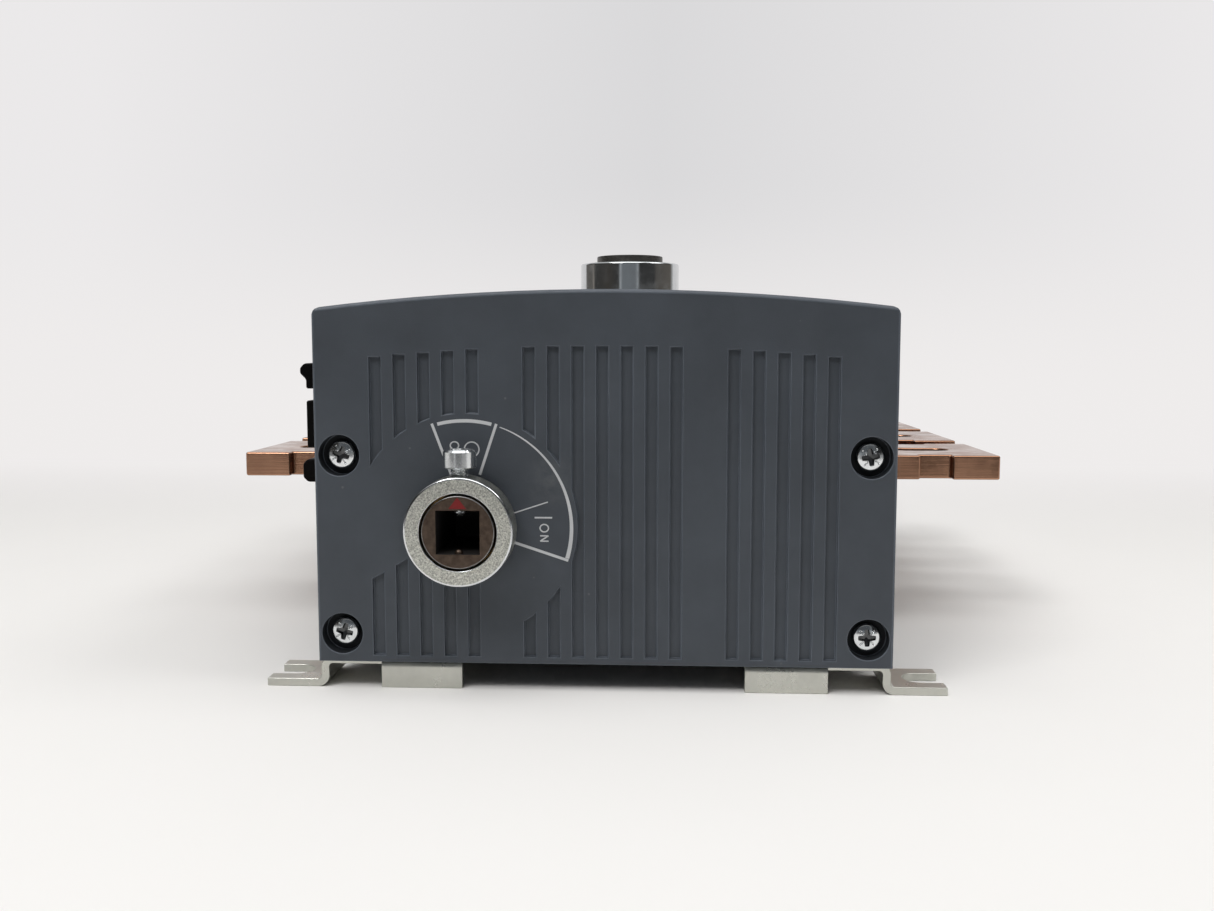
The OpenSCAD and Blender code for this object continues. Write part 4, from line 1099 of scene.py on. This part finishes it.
class SWITCH_OT_dial(bpy.types.Operator):
    """Printed dial on the face and the red pointer on the end shaft"""
    bl_idname = "switch.dial"
    bl_label = "Dial"

    def letters(self, size):
        """Strokes of the words; text runs downwards and its upper side faces right."""
        tall = size.letter_height
        pen = size.letter_stroke
        base_on = 21.0 * MM
        base_off = -4.0 * MM
        round_w = 2.1 * MM
        on_mark = stroke((19.5 * MM, 2.45 * MM), (24.4 * MM, 2.45 * MM))
        off_mark = arc((2.0 * MM, 21.5 * MM), 2.05 * MM, 0, TURN)
        strokes = [(on_mark, 0.45 * MM), (off_mark, pen)]

        def placed(base, start, points):
            """Turns points of (along the text, up) to (X, Z) on the face."""
            points = np.array(points)
            return np.stack((base + points[:, 1], start - points[:, 0]), axis=1)

        def oval(base, start):
            angle = np.linspace(0, TURN, 40)
            along = round_w / 2 * (1 - np.cos(angle))
            up = tall / 2 * (1 + np.sin(angle))
            strokes.append((placed(base, start, np.stack((along, up), axis=1)), pen))

        def line(base, start, *points):
            for a, b in zip(points, points[1:]):
                strokes.append((placed(base, start, np.linspace(a, b, 2)), pen))

        wide = 1.5 * MM
        arm = 1.3 * MM
        waist = tall * 0.52
        oval(base_on, 0.55 * MM)
        line(base_on, -2.67 * MM, (0, 0), (0, tall), (wide, 0), (wide, tall))
        oval(base_off, 23.6 * MM)
        for start in (20.9 * MM, 19.0 * MM):
            line(base_off, start, (0, 0), (0, tall), (arm, tall))
            line(base_off, start, (0, waist), (arm * 0.85, waist))
        return strokes

    def execute(self, context):
        size = sizes()
        origin = END_RING[[0, 2]]
        thick = size.line_width
        fine = 0.33 * MM
        # Ends of the radial lines, in mm to the right of and above the ring's middle, and their widths
        spokes = (((-3.85, 14.4), (-9.14, 28.63), thick), ((4.2, 14.4), (8.93, 28.6), thick),
                  ((13.4, -4.5), (28.9, -9.6), thick), ((12.5, 3.3), (23.2, 6.85), fine))
        strokes = [(stroke(np.array(near) * MM, np.array(far) * MM), width) for near, far, width in spokes]
        centre = (0, -0.8 * MM)
        short = math.radians(14.5)
        start, end = math.radians(19.1), math.radians(106)
        taper = np.linspace(0.25, 1.15, 96) * MM
        strokes.append((arc(centre, 30.25 * MM, -short, short), 0.95 * MM))
        strokes.append((arc(centre, 30.3 * MM - taper / 2, start, end, len(taper)), taper))
        strokes += self.letters(size)
        parts = [ribbon(path + origin, width, FACE_Y, size.print_height) for path, width in strokes]
        settle(surface("dial_print", *joined(parts), ("dial_ink",)), "frame", "pale_plastic")
        low = np.array((0.0, 6.45 * MM))
        tall = 3.0 * MM
        pointer = np.linspace(low, low + (0.0, tall), 8)
        flare = np.linspace(4.9, 0.25, 8) * MM
        part = ribbon(pointer + origin, flare, END_TIP_Y, size.print_height)
        settle(surface("pointer_mark", *part, ("pointer_paint",)), "end_drive", "dark_steel")
        return {"FINISHED"}


class SWITCH_OT_stage(bpy.types.Operator):
    """Pale floor that sweeps up to a backdrop, soft light and the camera"""
    bl_idname = "switch.stage"
    bl_label = "Stage"

    def sweep(self, settings):
        """A profile of floor, quarter circle and wall, carried along X."""
        # Front edge, start of the bend, its radius, the wall's top and half the width, in metres
        near, bend, radius, top, half = -0.45, 1.1, 0.5, 1.8, 2.6
        angle = np.linspace(0, TURN / 4, 24)
        y = np.concatenate(([near], bend + radius * np.sin(angle), [bend + radius]))
        z = np.concatenate(([0.0], radius * (1 - np.cos(angle)), [top]))
        x = np.array((-half, half))
        points = np.stack((np.repeat(x[None], len(y), 0), np.repeat(y[:, None], 2, 1),
                           np.repeat(z[:, None], 2, 1)), axis=-1).reshape(-1, 3)
        mesh = bpy.data.meshes.new("sweep")
        mesh.from_pydata(points.tolist(), [], grid_faces(len(y), 2, False, False)[:, ::-1].tolist())
        mesh.shade_smooth()
        mesh.materials.append(self.paper(settings))
        piece = bpy.data.objects.new("sweep", mesh)
        bpy.context.scene.collection.objects.link(piece)

    def seen(self, tree):
        """1 for rays that show the surface itself: from the camera, or mirrored or passed on to it."""
        path = add_node(tree, "ShaderNodeLightPath").outputs
        direct = calculated(tree, "MAXIMUM", path["Is Camera Ray"], path["Is Glossy Ray"])
        return calculated(tree, "MAXIMUM", direct, path["Is Transmission Ray"])

    def paper(self, settings):
        """Matt paper on the floor; far behind the object, the rays that show it see a glowing backdrop
        instead: painted light, pale at the horizon and darker in the middle of the wall than at its sides.
        """
        made, tree, shader = principled("floor_paper", 0.0, 0.2)
        tone = effect(tree, "surface_mottle", Scale=3.0)
        paper = blend_colours(tree, tone, shade(settings.floor, 0.98), settings.floor)
        feed(tree, shader.inputs["Base Color"], paper)
        feed(tree, shader.inputs["Roughness"], 0.8)
        split = add_node(tree, "ShaderNodeSeparateXYZ", {"Vector": own_place(tree)}).outputs
        far = ranged(tree, split["Y"], FAR_FLOOR, interpolation_type="SMOOTHSTEP")
        rise = ranged(tree, split["Z"], WALL_RISE, interpolation_type="SMOOTHSTEP")
        aside = ranged(tree, calculated(tree, "ABSOLUTE", split["X"]), WALL_ASIDE)
        # Painted light: the wall's glow is darker in the middle than at the sides
        wall = blend_colours(tree, aside, settings.backdrop, settings.backdrop_side)
        pale = blend_colours(tree, rise, settings.horizon, wall)
        glow = add_node(tree, "ShaderNodeEmission", {"Color": pale})
        shown = calculated(tree, "MULTIPLY", far, self.seen(tree))
        shaders = {"Fac": shown, 1: shader.outputs["BSDF"], 2: glow.outputs["Emission"]}
        mix = add_node(tree, "ShaderNodeMixShader", shaders)
        feed(tree, tree.nodes["Material Output"].inputs["Surface"], mix.outputs["Shader"])
        return made

    def lamp(self, name, place, aim, width, height, power):
        """A rectangular soft lamp that faces a point."""
        light = bpy.data.lights.new(name, "AREA")
        light.shape = "RECTANGLE"
        light.size = width
        light.size_y = height
        light.energy = power
        holder = bpy.data.objects.new(name, light)
        holder.location = place
        holder.rotation_euler = (Vector(aim) - Vector(place)).to_track_quat("-Z", "Y").to_euler()
        bpy.context.scene.collection.objects.link(holder)

    def strips(self, tree, share, stops):
        """Colours round the horizon, from a share of the full turn."""
        ramp = add_node(tree, "ShaderNodeValToRGB", {"Fac": share})
        elements = ramp.color_ramp.elements
        for degrees, level, tint in stops[1:-1]:
            elements.new(degrees / 360 + 0.5).color = (level, level * (1 + tint), level * (1 + 2 * tint), 1)
        for element, (degrees, level, tint) in zip((elements[0], elements[-1]), (stops[0], stops[-1])):
            element.color = (level, level, level, 1)
        return ramp.outputs["Color"]

    def sky(self, settings):
        """World light: pale above, then a dark room with pale strips, and other strips below the horizon."""
        world = bpy.data.worlds.new("studio")
        bpy.context.scene.world = world
        world.use_nodes = True
        tree = world.node_tree
        back = tree.nodes["Background"]
        direction = add_node(tree, "ShaderNodeTexCoord").outputs["Generated"]
        split = add_node(tree, "ShaderNodeSeparateXYZ", {"Vector": direction}).outputs
        front = calculated(tree, "MULTIPLY", split["Y"], -1.0)
        angle = calculated(tree, "ARCTAN2", split["X"], front)
        share = calculated(tree, "MULTIPLY_ADD", angle, 1 / TURN, 0.5)
        low, room = (self.strips(tree, share, stops) for stops in (LOW_STRIPS, ROOM_STRIPS))
        limits = (CEILING_RISE, ROOM_RISE, DIM_RISE)
        high, rise, fall = (ranged(tree, split["Z"], values) for values in limits)
        dim = blend_colours(tree, fall, DARK, room)
        walls = blend_colours(tree, rise, low, dim)
        lit = blend_colours(tree, high, walls, CEILING)
        direct = add_node(tree, "ShaderNodeLightPath").outputs["Is Camera Ray"]
        feed(tree, back.inputs["Color"], blend_colours(tree, direct, lit, settings.backdrop))
        back.inputs["Strength"].default_value = 1.0

    def execute(self, context):
        scene = context.scene
        settings = scene.switch_stage
        self.sweep(settings)
        self.sky(settings)
        for name, values in LAMPS.items():
            self.lamp(name, *values)
        camera = bpy.data.cameras.new("camera")
        camera.lens = settings.lens
        camera.sensor_width = SENSOR_WIDTH
        holder = bpy.data.objects.new("camera", camera)
        holder.location = settings.camera_place
        holder.rotation_euler = (TURN / 4 - settings.camera_pitch, 0, settings.camera_yaw)
        scene.collection.objects.link(holder)
        scene.camera = holder
        scene.view_settings.view_transform = "Standard"
        return {"FINISHED"}


class SWITCH_PT_panel(bpy.types.Panel):
    """Lists the operators and their settings"""
    bl_idname = "SWITCH_PT_panel"
    bl_label = "Load switch"
    bl_space_type = "VIEW_3D"
    bl_region_type = "UI"
    bl_category = "Load switch"

    def draw(self, context):
        for operator in OPERATORS:
            self.layout.operator(operator.bl_idname)
        for group in (context.scene.switch_sizes, context.scene.switch_colours, context.scene.switch_stage):
            for name in group.__annotations__:
                self.layout.prop(group, name)


OPERATORS = (SWITCH_OT_inner, SWITCH_OT_body, SWITCH_OT_poles, SWITCH_OT_bars, SWITCH_OT_feet,
             SWITCH_OT_screws, SWITCH_OT_drives, SWITCH_OT_toggle, SWITCH_OT_dial, SWITCH_OT_stage)
GROUPS = {"switch_sizes": SwitchSizes, "switch_colours": SwitchColours, "switch_stage": StageSettings}


def register():
    for cls in (*GROUPS.values(), *OPERATORS, SWITCH_PT_panel):
        bpy.utils.register_class(cls)
    for name, group in GROUPS.items():
        setattr(bpy.types.Scene, name, bpy.props.PointerProperty(type=group))


def unregister():
    for name in GROUPS:
        delattr(bpy.types.Scene, name)
    for cls in reversed((*GROUPS.values(), *OPERATORS, SWITCH_PT_panel)):
        bpy.utils.unregister_class(cls)


def main():
    register()
    for operator in OPERATORS:
        prefix, name = operator.bl_idname.split(".")
        getattr(getattr(bpy.ops, prefix), name)()


if __name__ == "__main__":
    main()
